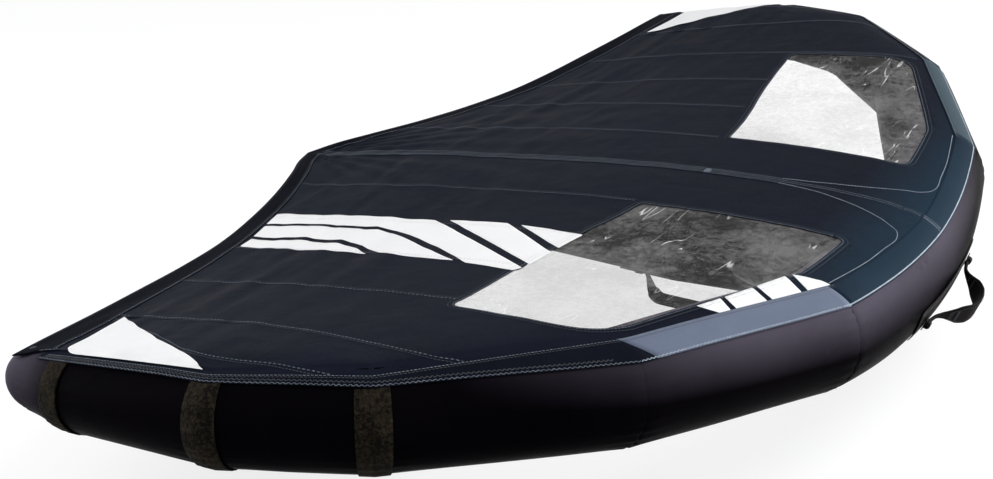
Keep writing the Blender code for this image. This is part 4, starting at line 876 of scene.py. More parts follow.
# Pale stripes on one half and a triangle at each tip, in the plan in metres
STRIPES = (
    [(-0.381, 0.505), (-0.379, 0.394), (-0.383, 0.278), (-0.382, 0.231), (-0.381, 0.151), (-0.591, -0.139),
     (-0.608, -0.132), (-0.594, -0.039), (-0.533, 0.044), (-0.487, 0.118), (-0.447, 0.188), (-0.435, 0.237),
     (-0.444, 0.259), (-0.435, 0.319), (-0.428, 0.387), (-0.44, 0.484)],
    [(-0.452, 0.478), (-0.44, 0.379), (-0.449, 0.309), (-0.459, 0.248), (-0.45, 0.226), (-0.464, 0.183),
     (-0.51, 0.114), (-0.554, 0.042), (-0.589, -0.014), (-0.58, 0.133), (-0.575, 0.142), (-0.541, 0.195),
     (-0.517, 0.257), (-0.513, 0.295), (-0.505, 0.34), (-0.512, 0.408), (-0.509, 0.459)],
    [(-0.523, 0.452), (-0.528, 0.395), (-0.522, 0.328), (-0.532, 0.281), (-0.537, 0.248), (-0.558, 0.195),
     (-0.582, 0.16), (-0.575, 0.249), (-0.567, 0.442)],
    [(-0.38, 0.121), (-0.376, 0.007), (-0.502, -0.143), (-0.57, -0.14)],
    [(-0.381, -0.022), (-0.388, -0.081), (-0.401, -0.149), (-0.478, -0.144)],
    [(-0.624, -0.438), (-0.575, -0.455), (-0.606, -0.489), (-0.616, -0.482)],
    [(-0.566, -0.458), (-0.505, -0.478), (-0.536, -0.52), (-0.595, -0.495)],
    [(-0.495, -0.481), (-0.427, -0.502), (-0.465, -0.545), (-0.525, -0.524)],
    [(-0.412, -0.508), (-0.398, -0.549), (-0.4, -0.568), (-0.452, -0.55)],
)
TIP_TRIANGLE = [(-0.954, 0.341), (-1.052, 0.182), (-1.127, 0.031), (-1.118, 0.298)]


def appliques():
    """The stripes and the triangles."""
    for index, corners in enumerate(STRIPES, start=1):
        radii = [0.003] * len(corners)
        sewn_cloth("pale_stripe_%d" % index, softened(corners, radii, 3), WHITE, 0.00075)
    for side, label in HALVES:
        corners = [(abs(x) * side, y) for x, y in TIP_TRIANGLE]
        corners = corners if side < 0 else list(reversed(corners))
        radii = [0.004, 0.0, 0.004, 0.03] if side < 0 else [0.03, 0.004, 0.0, 0.004]
        sewn_cloth("tip_triangle_" + label, softened(corners, radii, 6), WHITE, 0.002, 0.0034)


appliques()


def tube_track(first, last, degrees_of, lift, side, per=40):
    """A track along the tube at an angle that changes with the place."""
    track = []
    for place in steps(first, last, max(4, round(per * (last - first)))):
        degrees = degrees_of(place)
        point = tube_point(place, degrees, lift, side)
        track.append((point, (tube_point(place, degrees, lift + 0.01, side) - point).normalized()))
    return track


# Leading edge tube, panel by panel

SIDES = 96
PUCKER, PUCKER_REACH, PUCKERS = 0.0011, 0.022, 31.0  # height, how far they run, and how many
SEAM_PULL, SEAM_PULL_RUN, UNEVEN = 0.0016, 0.004, 0.001
PANELS = ("mid", "outer", "bend", "end")


def pucker(place, degrees):
    """Small gathers in the sleeve beside each joint."""
    nearest = round(abs(place))
    if nearest == 0:
        return 0.0
    centre, _ = tube_centre(abs(place))
    distance = (centre - joint_point(min(nearest, 6))).length
    wobble = 3.0 * noise.noise(Vector((degrees * 0.03, nearest * 3.1, place * 0.7)))
    return PUCKER * math.exp(-distance / PUCKER_REACH) * math.sin(math.radians(degrees) * PUCKERS + wobble)


def sleeve_points(places, side):
    """Rings of points on the tube, a little uneven and drawn in at both ends."""
    points = []
    for index, place in enumerate(places):
        for step in range(SIDES):
            degrees = 360.0 * step / SIDES
            at_end = index in (0, len(places) - 1)
            lift = pucker(place, degrees) - (SEAM_PULL if at_end else 0.0)
            c, s = turned(degrees)
            soft = noise.noise(Vector((place * 2.4, c * 1.3, s * 1.3)))
            points.append(tube_point(place, degrees, lift + UNEVEN * soft, side))
    return points


def panel_run(first, last, count):
    """Places along one panel, close together at its ends so that the seam pulls in."""
    inset = SEAM_PULL_RUN / (joint_point(math.ceil(last)) - joint_point(math.ceil(last) - 1)).length
    return [first, first + inset] + steps(first + inset, last - inset, count)[1:-1] + [last - inset, last]


def sleeve_panels():
    """The nine panels of the tube, each its own piece, and the two cones."""
    run = panel_run(0.0, 1.0, 30)
    places = [-place for place in reversed(run[2:])] + [0.0] + run[2:]
    points = sleeve_points(places, 1)
    add_piece("sleeve_centre", points, grid_faces(len(places), SIDES, True), SLEEVE, slot="sleeve",
              stands_for=["leading_edge_centre"])
    for side, label in HALVES:
        for index, part in enumerate(PANELS, start=1):
            places = panel_run(index, index + 1.0, 18)
            faces = grid_faces(len(places), SIDES, True, side < 0)
            add_piece("sleeve_%s_%s" % (part, label), sleeve_points(places, side), faces, SLEEVE,
                      slot="sleeve", stands_for=["leading_edge_%s_%s" % (part, label)])
        tip_cone(side, label)


def tip_cone(side, label):
    """The last panel with a rounded end."""
    places = panel_run(5.0, 6.0, 16)[:-1] + [6.0]
    points = sleeve_points(places, side)
    centre, radius, outward, upward = tube_frame(6.0)
    for column in range(SIDES):
        degrees = 360.0 * column / SIDES
        points[(len(places) - 1) * SIDES + column] = tube_point(6.0, degrees, 0.0, side)
    along = tube_direction(6.0)
    rows = len(places)
    for turn in steps(0.0, 84.0, 12)[1:]:
        reach = radius * math.cos(math.radians(turn)) ** 0.9
        run = 1.1 * radius * math.sin(math.radians(turn)) ** 1.15
        middle = centre + along * run + UP * (0.12 * (radius - reach))
        for column in range(SIDES):
            angle = 2.0 * math.pi * column / SIDES
            point = middle - outward * (reach * math.cos(angle)) + upward * (reach * math.sin(angle))
            point.x *= side
            points.append(point + STAND)
        rows += 1
    faces = grid_faces(rows, SIDES, True, side < 0)
    last = tuple(range((rows - 1) * SIDES, rows * SIDES))
    faces.append(last if side > 0 else tuple(reversed(last)))
    add_piece("tip_sleeve_" + label, points, faces, SLEEVE, slot="sleeve", stands_for=["tip_cone_" + label])


sleeve_panels()


BAND_CELLS = 12  # across the band
BAND_LINES = ((0.0, 0.0), (1.0, 0.03), (1.93, 0.11), (LAST_RIB, 0.0))  # ends of its colours, and their slant
FRONT_STITCH, SECOND_STITCH, INNER_STITCHES = -1.2, -5.0, (1.6, 4.0)  # degrees beside the two seams


def band_zones(side):
    """The band's points and faces in its three zones, and the zone of each face."""
    heap, looks = Heap(), []
    across = steps(0.0, 1.0, BAND_CELLS)
    lines = [[place + slant * part for part in across] for place, slant in BAND_LINES]
    for zone in range(3):
        count = round(34 * (lines[zone + 1][0] - lines[zone][0]))
        rows = []
        for along in steps(0.0, 1.0, count):
            row = []
            for part, near, far in zip(across, lines[zone], lines[zone + 1]):
                rib = near + (far - near) * along
                front, inner = table(FRONT_SEAM, rib) + 0.6, table(INNER_SEAM, rib)
                lift = BAND_LIFT + (0.0003 if zone == 1 else 0.0)
                if zone == 0:
                    lift = NOSE_BAND_LIFT + (BAND_LIFT - NOSE_BAND_LIFT) * min(1.0, rib) ** 3
                row.append(tube_point(rib, front + (inner - front) * part, lift, side))
            rows.append(row)
        heap.strip(rows, flip=side < 0)
        looks += [zone] * (count * BAND_CELLS)
    return heap, looks


def seam_track(seam, first, last, offset, lift, side):
    """A track along the tube, a few degrees beside one of the load band's seams."""
    return tube_track(first, last, lambda rib: table(seam, rib) + offset, lift, side)


def load_bands():
    """The strip along the front seam: a painted teal sheen over the nose, pale up to the second joint
    (lighter with painted sheen on the near half, darker with painted shade on the far half), dark beyond.
    """
    pale, edge, faint = Heap(), Heap(), Heap()
    for side, label in HALVES:
        heap, looks = band_zones(side)
        # The middle zone takes the lighter copy with painted sheen on the near half, the darker copy with
        # painted shade on the far half
        band = heap.piece("load_band_cloth_" + label, BAND_NOSE, slot="load_band",
                          stands_for=["load_band_" + label], thickness=0.0008, offset=0.0,
                          materials=[BAND_MID_PAINTED_LIGHT if side < 0 else BAND_MID_PAINTED_SHADE, BAND_TIP])
        band.data.polygons.foreach_set("material_index", looks)
        lift = BAND_LIFT + 0.0008
        pale.sew(seam_track(FRONT_SEAM, 0.0, 1.05, FRONT_STITCH, lift, side), 0.005, 0.001, 0.0022)
        pale.zigzag(seam_track(FRONT_SEAM, 1.05, 2.0, FRONT_STITCH, lift, side), 0.0014, 0.0036)
        edge.zigzag(seam_track(FRONT_SEAM, 2.0, 5.58, FRONT_STITCH, lift, side), 0.0014, 0.0036, 0.0009)
        for offset, heap in zip(INNER_STITCHES, (edge, faint)):
            heap.sew(seam_track(INNER_SEAM, 1.0, 5.5, offset, lift, side))
        faint.zigzag(seam_track(FRONT_SEAM, 2.1, 5.5, SECOND_STITCH, lift, side), 0.0016, 0.0034)
    pale.piece("nose_seam_stitches", THREAD)
    edge.piece("load_band_stitches", THREAD_DIM)
    faint.piece("load_band_stitches_second_row", THREAD_DARK)


load_bands()


def hem_width(point):
    """The hem widens from the middle to the tips."""
    return HEM_WIDTH + HEM_GROWTH * min(1.0, abs(point.x) / HALF_SPAN)


def trailing_hems():
    """The cloth folded over the trailing edge, with its stitches."""
    threads, dark = Heap(), Heap()
    for side, label in HALVES:
        points = []
        for rib in RIBS:
            rear = trailing_point(smooth_table(RIB_JOINTS, RIB_TRAIL, rib))
            chord = (front_point(rib) - rear).length
            first, under = 1.0 - min(0.6, hem_width(rear) / chord), 1.0 - min(0.4, 0.024 / chord)
            last = 1.0 + 0.002 / chord
            ring = [(share, 0.001 + 0.0003 * min(1.0, 40.0 * (share - first)))
                    for share in steps(first, 1.0, 7)]
            ring += [(last, 0.0), (1.0, -0.0012), (0.5 * (under + last), -0.0012), (under, -0.0013),
                     (first, -0.0002)]
            for share, lift in ring:
                point = canopy_point(rib, min(1.0, share), side, lift)
                if share > 1.0:
                    edge, ahead = canopy_point(rib, 1.0, side), canopy_point(rib, 0.99, side)
                    point = edge + (edge - ahead).normalized() * ((share - 1.0) * chord)
                points.append(point)
        faces = grid_faces(len(RIBS), 13, True, side > 0)
        add_piece("trailing_hem_" + label, points, faces, HEM, slot="hem",
                  stands_for=["trailing_band_" + label], smooth=50.0)
        for inset, heap in zip(HEM_ROWS, (threads, dark, dark)):
            track = []
            for rib in RIBS[1:-1]:
                rear = trailing_point(smooth_table(RIB_JOINTS, RIB_TRAIL, rib))
                reach = hem_width(rear) - inset if inset else HEM_EDGE_ROW
                share = 1.0 - min(0.6, reach / (front_point(rib) - rear).length)
                track.append((canopy_point(rib, share, side, 0.0014), UP))
            heap.sew(track, *SPACED)
    threads.piece("trailing_stitches", THREAD_DIM)
    dark.piece("trailing_stitches_second_row", THREAD_DARK)


trailing_hems()


SCUFF_JOINTS = ((3, "outer"), (4, "bend"), (5, "end"))
SCUFF_CELLS, SCUFF_END = 130, 330.0


def scuff_bands():
    """A grippy band round each outer joint, from the load band down round the tube."""
    for side, label in HALVES:
        for number, (joint, part) in enumerate(SCUFF_JOINTS, start=1):
            first = table(FRONT_SEAM, joint) + 1.5
            inward = 0.5 * SCUFF_WIDTH / (joint_point(joint) - joint_point(joint - 1)).length
            outward = 0.5 * SCUFF_WIDTH / (joint_point(joint + 1) - joint_point(joint)).length
            points = []
            rows = steps(joint - inward, joint, 5) + steps(joint, joint + outward, 5)[1:]
            for place in rows:
                for degrees in steps(first, SCUFF_END, SCUFF_CELLS):
                    lift = SCUFF_LIFT + pucker(place, degrees) * 0.6
                    points.append(tube_point(place, degrees, lift, side))
            faces = grid_faces(len(rows), SCUFF_CELLS + 1, flip=side < 0)
            name = "scuff_cloth_%d_%s" % (number, label)
            band = add_piece(name, points, faces, SCUFF, slot="scuff",
                             stands_for=["scuff_band_%d_%s" % (number, label)], smooth=35.0,
                             thickness=0.0014)


scuff_bands()


# Strut under the centre

# The strut from its root aft: place and height in chords, and radius as a share
STRUT_Y = (-0.88, -0.8, -0.65, -0.45, -0.25, -0.08, -0.02)
STRUT_Z = (0.004, -0.006, -0.013, -0.017, -0.021, -0.028, -0.031)
STRUT_R = (0.86, 0.957, 1.0, 0.914, 0.759, 0.586, 0.517)
STRUT_RADIUS, STRUT_TAIL = 0.079, 0.03
STRUT_SEAMS, STRUT_END_SEAM, STRUT_ROWS = (1.0, 2.0, 3.0, 4.0, 5.0), 5.93, (-0.018, 0.018)
STRUT_UNEVEN, STRUT_PULL, STRUT_PULL_RUN = 0.0006, 0.0008, 0.025
SEAM_GAP, LAP_GAP, PATCH_WALL = 0.0003, 0.0005, 0.0015
BLADDER_INSET, BLADDER_SIDES = 0.006, 32
RING = steps(0.0, 360.0, SIDES)
TURNS = RING[:-1]


def strut_place(y):
    """Place along the strut's table of a distance aft, measured from the trailing edge."""
    index = 0
    while index < len(STRUT_Y) - 2 and y > STRUT_Y[index + 1] * CHORD:
        index += 1
    return index + (y / CHORD - STRUT_Y[index]) / (STRUT_Y[index + 1] - STRUT_Y[index])


def strut_point(place, degrees, lift=0.0):
    """A point on the strut in the row frame. 270 degrees is its belly."""
    angle, reach = math.radians(degrees), table(STRUT_R, place) * STRUT_RADIUS + lift
    y, z = table(STRUT_Y, place) * CHORD, table(STRUT_Z, place) * CHORD
    return Vector((reach * math.cos(angle), y, z + reach * math.sin(angle))) + STAND


def on_nose_back(point, clearance):
    """The point moved aft or forward onto the back of the nose tube."""
    centre, radius = tube_centre(abs(point.x) / joint_point(1).x)
    reach = radius + clearance
    rise = min(abs(point.z - STAND.z - centre.z), reach)
    return Vector((point.x, centre.y + math.sqrt(reach * reach - rise * rise) + STAND.y, point.z))


def strut_cloth():
    """The strut's sleeve. It starts on the back of the nose tube and is drawn in at its seams."""
    front = [on_nose_back(strut_point(0.0, turn), SEAM_GAP + 0.001) for turn in TURNS]
    near = [strut_point(0.5, turn) for turn in TURNS]
    points = [a.lerp(b, part) for part in steps(0.0, 1.0, 10)[:-1] for a, b in zip(front, near)]
    places = steps(0.5, 6.0, 88)
    for place in places:
        seam = min(abs(place - knot) for knot in STRUT_SEAMS)
        for turn in TURNS:
            c, s = turned(turn)
            lift = STRUT_UNEVEN * (noise.noise(Vector((place * 3.0, c * 2.0, s * 2.0))) - 1.0)
            points.append(strut_point(place, turn, lift - STRUT_PULL * math.exp(-seam / STRUT_PULL_RUN)))
    faces = grid_faces(10 + len(places), SIDES, True)
    add_piece("strut_cloth", points, faces, SLEEVE, slot="sleeve", stands_for=["strut_sleeve"])


def strut_tail():
    """The rounded cap at the strut's aft end."""
    points = []
    y, z, radius = STRUT_Y[-1] * CHORD, STRUT_Z[-1] * CHORD, STRUT_R[-1] * STRUT_RADIUS
    for turn in steps(0.0, 84.0, 12):
        reach = radius * math.cos(math.radians(turn))
        aft = y + SEAM_GAP + STRUT_TAIL * math.sin(math.radians(turn))
        for c, s in map(turned, TURNS):
            points.append(Vector((reach * c, aft, z + reach * s)) + STAND)
    faces = grid_faces(13, SIDES, True) + [tuple(range(12 * SIDES, 13 * SIDES))]
    add_piece("strut_tail", points, faces, HEM, slot="hem", stands_for=["strut_tail_cap"])


def strut_stitches():
    """Two rows beside each seam, and one round the root."""
    threads = Heap()
    for place in (*STRUT_SEAMS, STRUT_END_SEAM):
        for shift in STRUT_ROWS:
            ring = [strut_point(place + shift, turn, 0.0002) for turn in RING]
            middle = strut_point(place + shift, 0.0).lerp(strut_point(place + shift, 180.0), 0.5)
            threads.sew([(point, (point - middle).normalized()) for point in ring])
    root = [on_nose_back(strut_point(0.0, turn, 0.004), 0.0018) for turn in RING]
    threads.sew([(point, Vector((point.x, 0.5, point.z - 0.16)).normalized()) for point in root])
    threads.piece("strut_stitches", THREAD_DARK)


def strut_web():
    """The wall of cloth from the strut up to the canopy."""
    rows = []
    for y in steps(joint_point(0).y + 0.079, STRUT_Y[-1] * CHORD, 130):
        place = strut_place(max(y, STRUT_Y[0] * CHORD))
        low, high = strut_point(place, 90.0).z + SEAM_GAP, on_canopy(0.0, y + STAND.y, -0.0014)[0].z
        row = []
        for part in steps(0.0, 1.0, 8):
            point = Vector((0.0, y + STAND.y, low + (high - low) * part))
            point.y = max(point.y, on_nose_back(point, 0.0006).y)
            point.x += 0.0012 * math.sin(math.pi * part) * noise.noise(Vector((y * 9.0, part, 0.4)))
            row.append(point)
        rows.append(row)
    web = Heap()
    web.strip(rows)
    cloth = web.piece("strut_web_cloth", CANOPY, slot="canopy", stands_for=["strut_web"], thickness=0.0008,
                      offset=0.0)


def bladder(name, point_at, first, last, count):
    """A closed tube of film inside its sleeve."""
    turns = TURNS[::SIDES // BLADDER_SIDES]
    points = [point_at(place, turn, -BLADDER_INSET) for place in steps(first, last, count)
              for turn in turns]
    faces = grid_faces(count + 1, BLADDER_SIDES, True)
    faces += [tuple(range(BLADDER_SIDES)), tuple(range(count * BLADDER_SIDES, (count + 1) * BLADDER_SIDES))]
    add_piece(name + "_film", points, faces, BLADDER, slot="bladder", stands_for=[name], smooth=60.0)


strut_cloth()
strut_tail()
strut_web()
strut_stitches()
bladder("strut_bladder", strut_point, 0.5, 5.95, 40)
bladder("leading_edge_bladder", tube_point, -5.9, 5.9, 160)


# Handles

TAIL_WIDTH, TAIL_LENGTH = 0.008, 0.022
AXIS_LIFT = LAP_GAP + PATCH_WALL + 0.0007 + 0.55 * TAIL_WIDTH
FRONT_HALF, FRONT_REACH, FRONT_DEGREES = 0.15, 0.053, 200.0
FRONT_PATCH_LENGTH, FRONT_PATCH_WIDTH, FRONT_PATCH_DEGREES = 0.364, 0.059, 17.0
# The strap from a rolled end to its middle: place across, tails beyond it, reach, width, thickness
FRONT_ROWS = ((1.0, 0.5, 0.0, 0.0, 0.0), (1.0, -0.4, 0.0, 0.0, 0.0), (1.0, -1.0, 0.03, -0.06, 0.8),
              (0.73, 0.0, 0.1, -0.03, 1.0), (0.63, 0.0, 0.24, 0.1, 1.0), (0.553, 0.0, 0.39, 0.33, 1.0),
              (0.48, 0.0, 0.54, 0.6, 1.0), (0.4, 0.0, 0.68, 0.88, 1.0), (0.26, 0.0, 0.89, 1.0, 1.0),
              (0.11, 0.0, 0.98, 1.0, 1.0), (0.0, 0.0, 1.0, 1.0, 1.0))
FRONT_WIDTH, FRONT_THICKNESS = 0.039, 0.006
FRONT_BARS, FRONT_EDGES = (0.25, 0.31, 0.67, 0.73), (-0.78, 0.78)
# A strut handle from a rolled end to its grip: place along in tails, depth, width, thickness
GRIP_ROWS = ((-0.5, 0.0, 0.0, 0.0), (0.45, 0.0, 0.0, 0.0), (0.8, 0.1, 0.06, 0.0),
             (1.05, 0.4, 0.5, 0.4), (1.35, 0.72, 0.9, 1.0), (1.85, 0.94, 1.0, 1.0),
             (2.6, 1.0, 1.0, 1.0))
STRUT_HANDLES = (("front", -0.68), ("rear", -0.33))
HANDLE_LENGTH, HANDLE_DEPTH = 0.25, 0.05
HANDLE_PATCH_END, HANDLE_PATCH_WIDTH, HANDLE_PATCH_DEGREES = 0.03, 0.08, 30.0
GRIP_WIDTH, GRIP_THICKNESS, GRIP_SPAN = 0.034, 0.016, (0.29, 0.71)
GRIP_CROWN, GRIP_CROWN_RUN, GRIP_RIB, GRIP_RIB_PITCH = 0.16, 5.0, 0.012, 6.0
KEEPER_HALF, KEEPER_FLANGE, KEEPER_BEND = 0.0069, 0.0075, (0.0015, 0.0012)
KEEPER_ROWS = (0.0015, 0.0022)  # stitches from the flange's edge, and from the loop
PATCH_CORNER, PATCH_ROWS = 0.012, (0.004, 0.0075)
RIGHT = Vector((1.0, 0.0, 0.0))


def swept(heap, path, normal, sizes, power, sides=28):
    """A section along a path in one plane, round where it is as thick as wide and else flat.
    normal is square to that plane."""
    rows = []
    for index, point in enumerate(path):
        along = heading(path, index)
        inner = normal.cross(along).normalized()
        row = []
        flat = 2.0 + (power - 2.0) * min(1.0, max(0.0, sizes[index][0] / sizes[index][1] - 1.0))
        for turn in steps(0.0, 2.0 * math.pi, sides)[:-1]:
            c, s = math.cos(turn), math.sin(turn)
            across = math.copysign(abs(c) ** (2.0 / flat), c) * 0.5 * sizes[index][0]
            deep = math.copysign(abs(s) ** (2.0 / flat), s) * 0.5 * sizes[index][1]
            row.append(point + normal * across + inner * deep)
        rows.append(row)
    faces = grid_faces(len(path), sides, True)
    faces += [tuple(range(sides)), tuple(range((len(path) - 1) * sides, len(path) * sides))]
    heap.add([point for row in rows for point in row], faces)


def edge_track(path, normal, sizes, across, first, last, out=1.0):
    """A line on the face of a swept strap, at a share of its half width."""
    track = []
    for index in range(int(first * len(path)), int(last * len(path))):
        along = heading(path, index)
        inner = normal.cross(along).normalized() * out
        track.append((path[index] + normal * (across * 0.5 * sizes[index][0])
                      + inner * (0.5 * sizes[index][1] + 0.0001), inner))
    return track


def closed_piece(heap, name, look, body, slot, nodes=()):
    item = heap.piece(name, look, body, slot, stands_for=nodes, smooth=50.0)
    bm = bmesh.new()
    bm.from_mesh(item.data)
    bmesh.ops.recalc_face_normals(bm, faces=bm.faces[:])
    bm.to_mesh(item.data)
    bm.free()
    return item


def front_axis():
    place = (FRONT_HALF - 0.5 * TAIL_LENGTH) / joint_point(1).x
    point = tube_point(place, FRONT_DEGREES, AXIS_LIFT)
    return Vector((0.0, point.y, point.z))


def front_handle_pieces():
    """A folded strap of webbing, sewn along its edges and barred across where its layers end."""
    angle = math.radians(FRONT_DEGREES)
    outward = Vector((0.0, math.cos(angle), math.sin(angle)))
    normal = RIGHT.cross(outward)
    axis = front_axis()
    half = []
    for across, tails, out, wide, thick in FRONT_ROWS:
        half.append((across * FRONT_HALF + tails * TAIL_LENGTH, out * FRONT_REACH,
                     TAIL_WIDTH + (FRONT_WIDTH - TAIL_WIDTH) * wide,
                     TAIL_WIDTH + (FRONT_THICKNESS - TAIL_WIDTH) * thick))
    whole = half + [(-across, *rest) for across, *rest in reversed(half[:-1])]
    rows = [smooth_row(whole, place) for place in steps(0.0, len(whole) - 1.0, 150)]
    path = [axis + RIGHT * row[0] + outward * row[1] for row in rows]
    sizes = [(row[2], max(0.004, row[3])) for row in rows]
    strap, threads = Heap(), Heap()
    swept(strap, path, normal, sizes, 4.0)
    for out in (-1.0, 1.0):
        for across in FRONT_EDGES:
            threads.sew(edge_track(path, normal, sizes, across, 0.24, 0.76, out))
        for first in FRONT_BARS:
            for index in range(int(first * len(path)), int(first * len(path)) + 3):
                span = (index / len(path), (index + 1.5) / len(path))
                near, far = [edge_track(path, normal, sizes, across, *span, out)[0]
                             for across in (-0.7, 0.7)]
                threads.stitch(near[0], far[0], near[1], 0.0014)
    closed_piece(strap, "front_strap", WEBBING, "front_handle", "webbing", ["front_handle"])
    threads.piece("front_strap_stitches", THREAD_DARK, "front_handle")
    for label, end in (("left", -FRONT_HALF), ("right", FRONT_HALF)):
        keeper_pieces("front_handle_keeper_" + label, axis + RIGHT * end, RIGHT, outward)
    reach = 0.5 * FRONT_PATCH_LENGTH / joint_point(1).x

    def place(a, b):
        return tube_point(a * reach, FRONT_DEGREES + FRONT_PATCH_DEGREES * b, LAP_GAP + 0.5 * PATCH_WALL)

    sewn_patch("front_handle_patch", place, FRONT_PATCH_LENGTH, FRONT_PATCH_WIDTH, "leading_edge_centre")


def keeper_pieces(node, point, along, outward):
    """A loop of webbing over a rolled end, sewn down on both sides of it."""
    inner = 0.55 * TAIL_WIDTH + SEAM_GAP
    middle, wide, top = inner + 0.5 * PATCH_WALL, inner + KEEPER_FLANGE, inner - 0.5 * PATCH_WALL
    reach, drop = KEEPER_BEND
    inward = -outward
    across = inward.cross(along).normalized()
    outline = [(-wide, top), (-middle - reach, top), (-middle, top - drop)]
    outline += [(middle * c, middle * s) for c, s in map(turned, steps(180.0, 360.0, 14))]
    outline += [(middle, top - drop), (middle + reach, top), (wide, top)]
    heap, threads = Heap(), Heap()
    heap.strip([[point + across * x + inward * y + along * run for x, y in outline]
                for run in steps(-KEEPER_HALF, KEEPER_HALF, 6)])
    heap.piece(node + "_loop", WEBBING, slot="webbing", stands_for=[node], smooth=50.0,
               thickness=WEBBING_WALL, offset=0.0)
    edge, near = wide - KEEPER_ROWS[0], middle + KEEPER_ROWS[1]
    for x in (-edge, -near, near, edge):
        ends = [point + across * x + inward * (top - 0.0008) + along * run
                for run in (0.0005 - KEEPER_HALF, KEEPER_HALF - 0.0005)]
        threads.sew([(ends[0], outward), (ends[1], outward)], 0.0022, 0.0009, 0.0009)
    threads.piece(node + "_stitches", THREAD_DARK)


def sewn_patch(node, place, length, width, under="strut_sleeve"):
    """A patch with rounded corners. place gives a point from two shares between -1 and 1."""
    rows = []
    for run in steps(-1.0, 1.0, 44):
        short = PATCH_CORNER - min(PATCH_CORNER, (1.0 - abs(run)) * 0.5 * length)
        half = 1.0 - (PATCH_CORNER - math.sqrt(max(0.0, PATCH_CORNER ** 2 - short ** 2))) / (0.5 * width)
        rows.append([place(run, half * side) for side in steps(-1.0, 1.0, 14)])
    heap, threads = Heap(), Heap()
    heap.strip(rows)
    item = heap.piece(node + "_cloth", WEBBING, slot="webbing", stands_for=[node], thickness=WEBBING_WALL,
                      offset=0.0)
    for inset in PATCH_ROWS:
        a, b = 1.0 - 2.0 * inset / length, 1.0 - 2.0 * inset / width
        corners = [(-a, -b), (a, -b), (a, b), (-a, b), (-a, -b)]
        track = []
        for (x0, y0), (x1, y1) in zip(corners, corners[1:]):
            for part in steps(0.0, 1.0, 24)[:-1]:
                here = place(x0 + (x1 - x0) * part, y0 + (y1 - y0) * part)
                side = place(x0, min(1.0, y0 + 0.02)) - place(x0, y0)
                run = place(min(1.0, x0 + 0.02), y0) - place(x0, y0)
                normal = side.cross(run).normalized()
                middle = Vector((0.0, here.y, strut_point(2.0, 0.0).z))
                if under == "leading_edge_centre":
                    middle = tube_centre(0.0)[0] + STAND
                if normal.dot(here - middle) < 0.0:
                    normal = -normal
                track.append((here + normal * 0.0008, normal))
        threads.sew(track)
    threads.piece(node + "_stitches", THREAD_DARK)


def strut_axis(centre):
    ends = [centre * CHORD - 0.5 * HANDLE_LENGTH, centre * CHORD + 0.5 * HANDLE_LENGTH]
    return [strut_point(strut_place(y), 270.0, AXIS_LIFT) for y in ends]


def handle_path(front, rear, level):
    """The path of a strut handle between its rolled ends, and its width and thickness there."""
    tails = TAIL_LENGTH / (rear - front).length
    half = [(along * tails, *rest) for along, *rest in GRIP_ROWS]
    whole = half + [(0.5, 1.0, 1.0, 1.0)] + [(1.0 - along, *rest) for along, *rest in reversed(half)]
    path, sizes = [], []
    for row_place in steps(0.0, len(whole) - 1.0, 170):
        along, *shares = smooth_row(whole, row_place)
        deep, wide, thick = [min(1.0, max(0.0, share)) for share in shares]
        point = front.lerp(rear, along)
        point.z += (level - point.z) * deep
        path.append(point)
        sizes.append((TAIL_WIDTH + (GRIP_WIDTH - TAIL_WIDTH) * wide,
                      TAIL_WIDTH + (GRIP_THICKNESS - TAIL_WIDTH) * thick))
    return path, sizes


def strap_size(wide, thick):
    """The strap is thinner than the grip round it, and nearly as thick as its rolled ends."""
    return (0.9 * wide, 0.72 * thick) if thick > 0.0085 else (wide * 0.97, thick * 0.97)


def grip_sizes(count):
    """The foam's width and thickness: drawn in at both ends, with small ribs."""
    sizes = []
    for index in range(count):
        near = min(index, count - 1 - index) / GRIP_CROWN_RUN
        crown = 1.0 - GRIP_CROWN * max(0.0, 1.0 - near) ** 2
        ribs = 1.0 - GRIP_RIB * (0.5 + 0.5 * math.cos(2.0 * math.pi * index / GRIP_RIB_PITCH))
        sizes.append((GRIP_WIDTH * crown * ribs, GRIP_THICKNESS * crown * ribs))
    return sizes


def handle_strap(body, label, front, rear, level):
    path, sizes = handle_path(front, rear, level)
    strap, grip, threads = Heap(), Heap(), Heap()
    swept(strap, path, RIGHT, [strap_size(*size) for size in sizes], 3.0)
    closed_piece(strap, "strut_strap_" + label, WEBBING, body, "webbing", [body])
    first, last = [int(share * len(path)) for share in GRIP_SPAN]
    spans = path[first:last + 1]
    sizes = grip_sizes(len(spans))
    swept(grip, spans, RIGHT, sizes, 3.2, 40)
    item = closed_piece(grip, "strut_grip_" + label, FOAM, body, "grip")
    for across in (-0.55, 0.55):
        threads.sew(edge_track(spans, RIGHT, sizes, across, 0.04, 0.96, 1.0), 0.003, 0.0016, 0.001)
    threads.piece("strut_grip_stitches_" + label, THREAD_DARK, body)


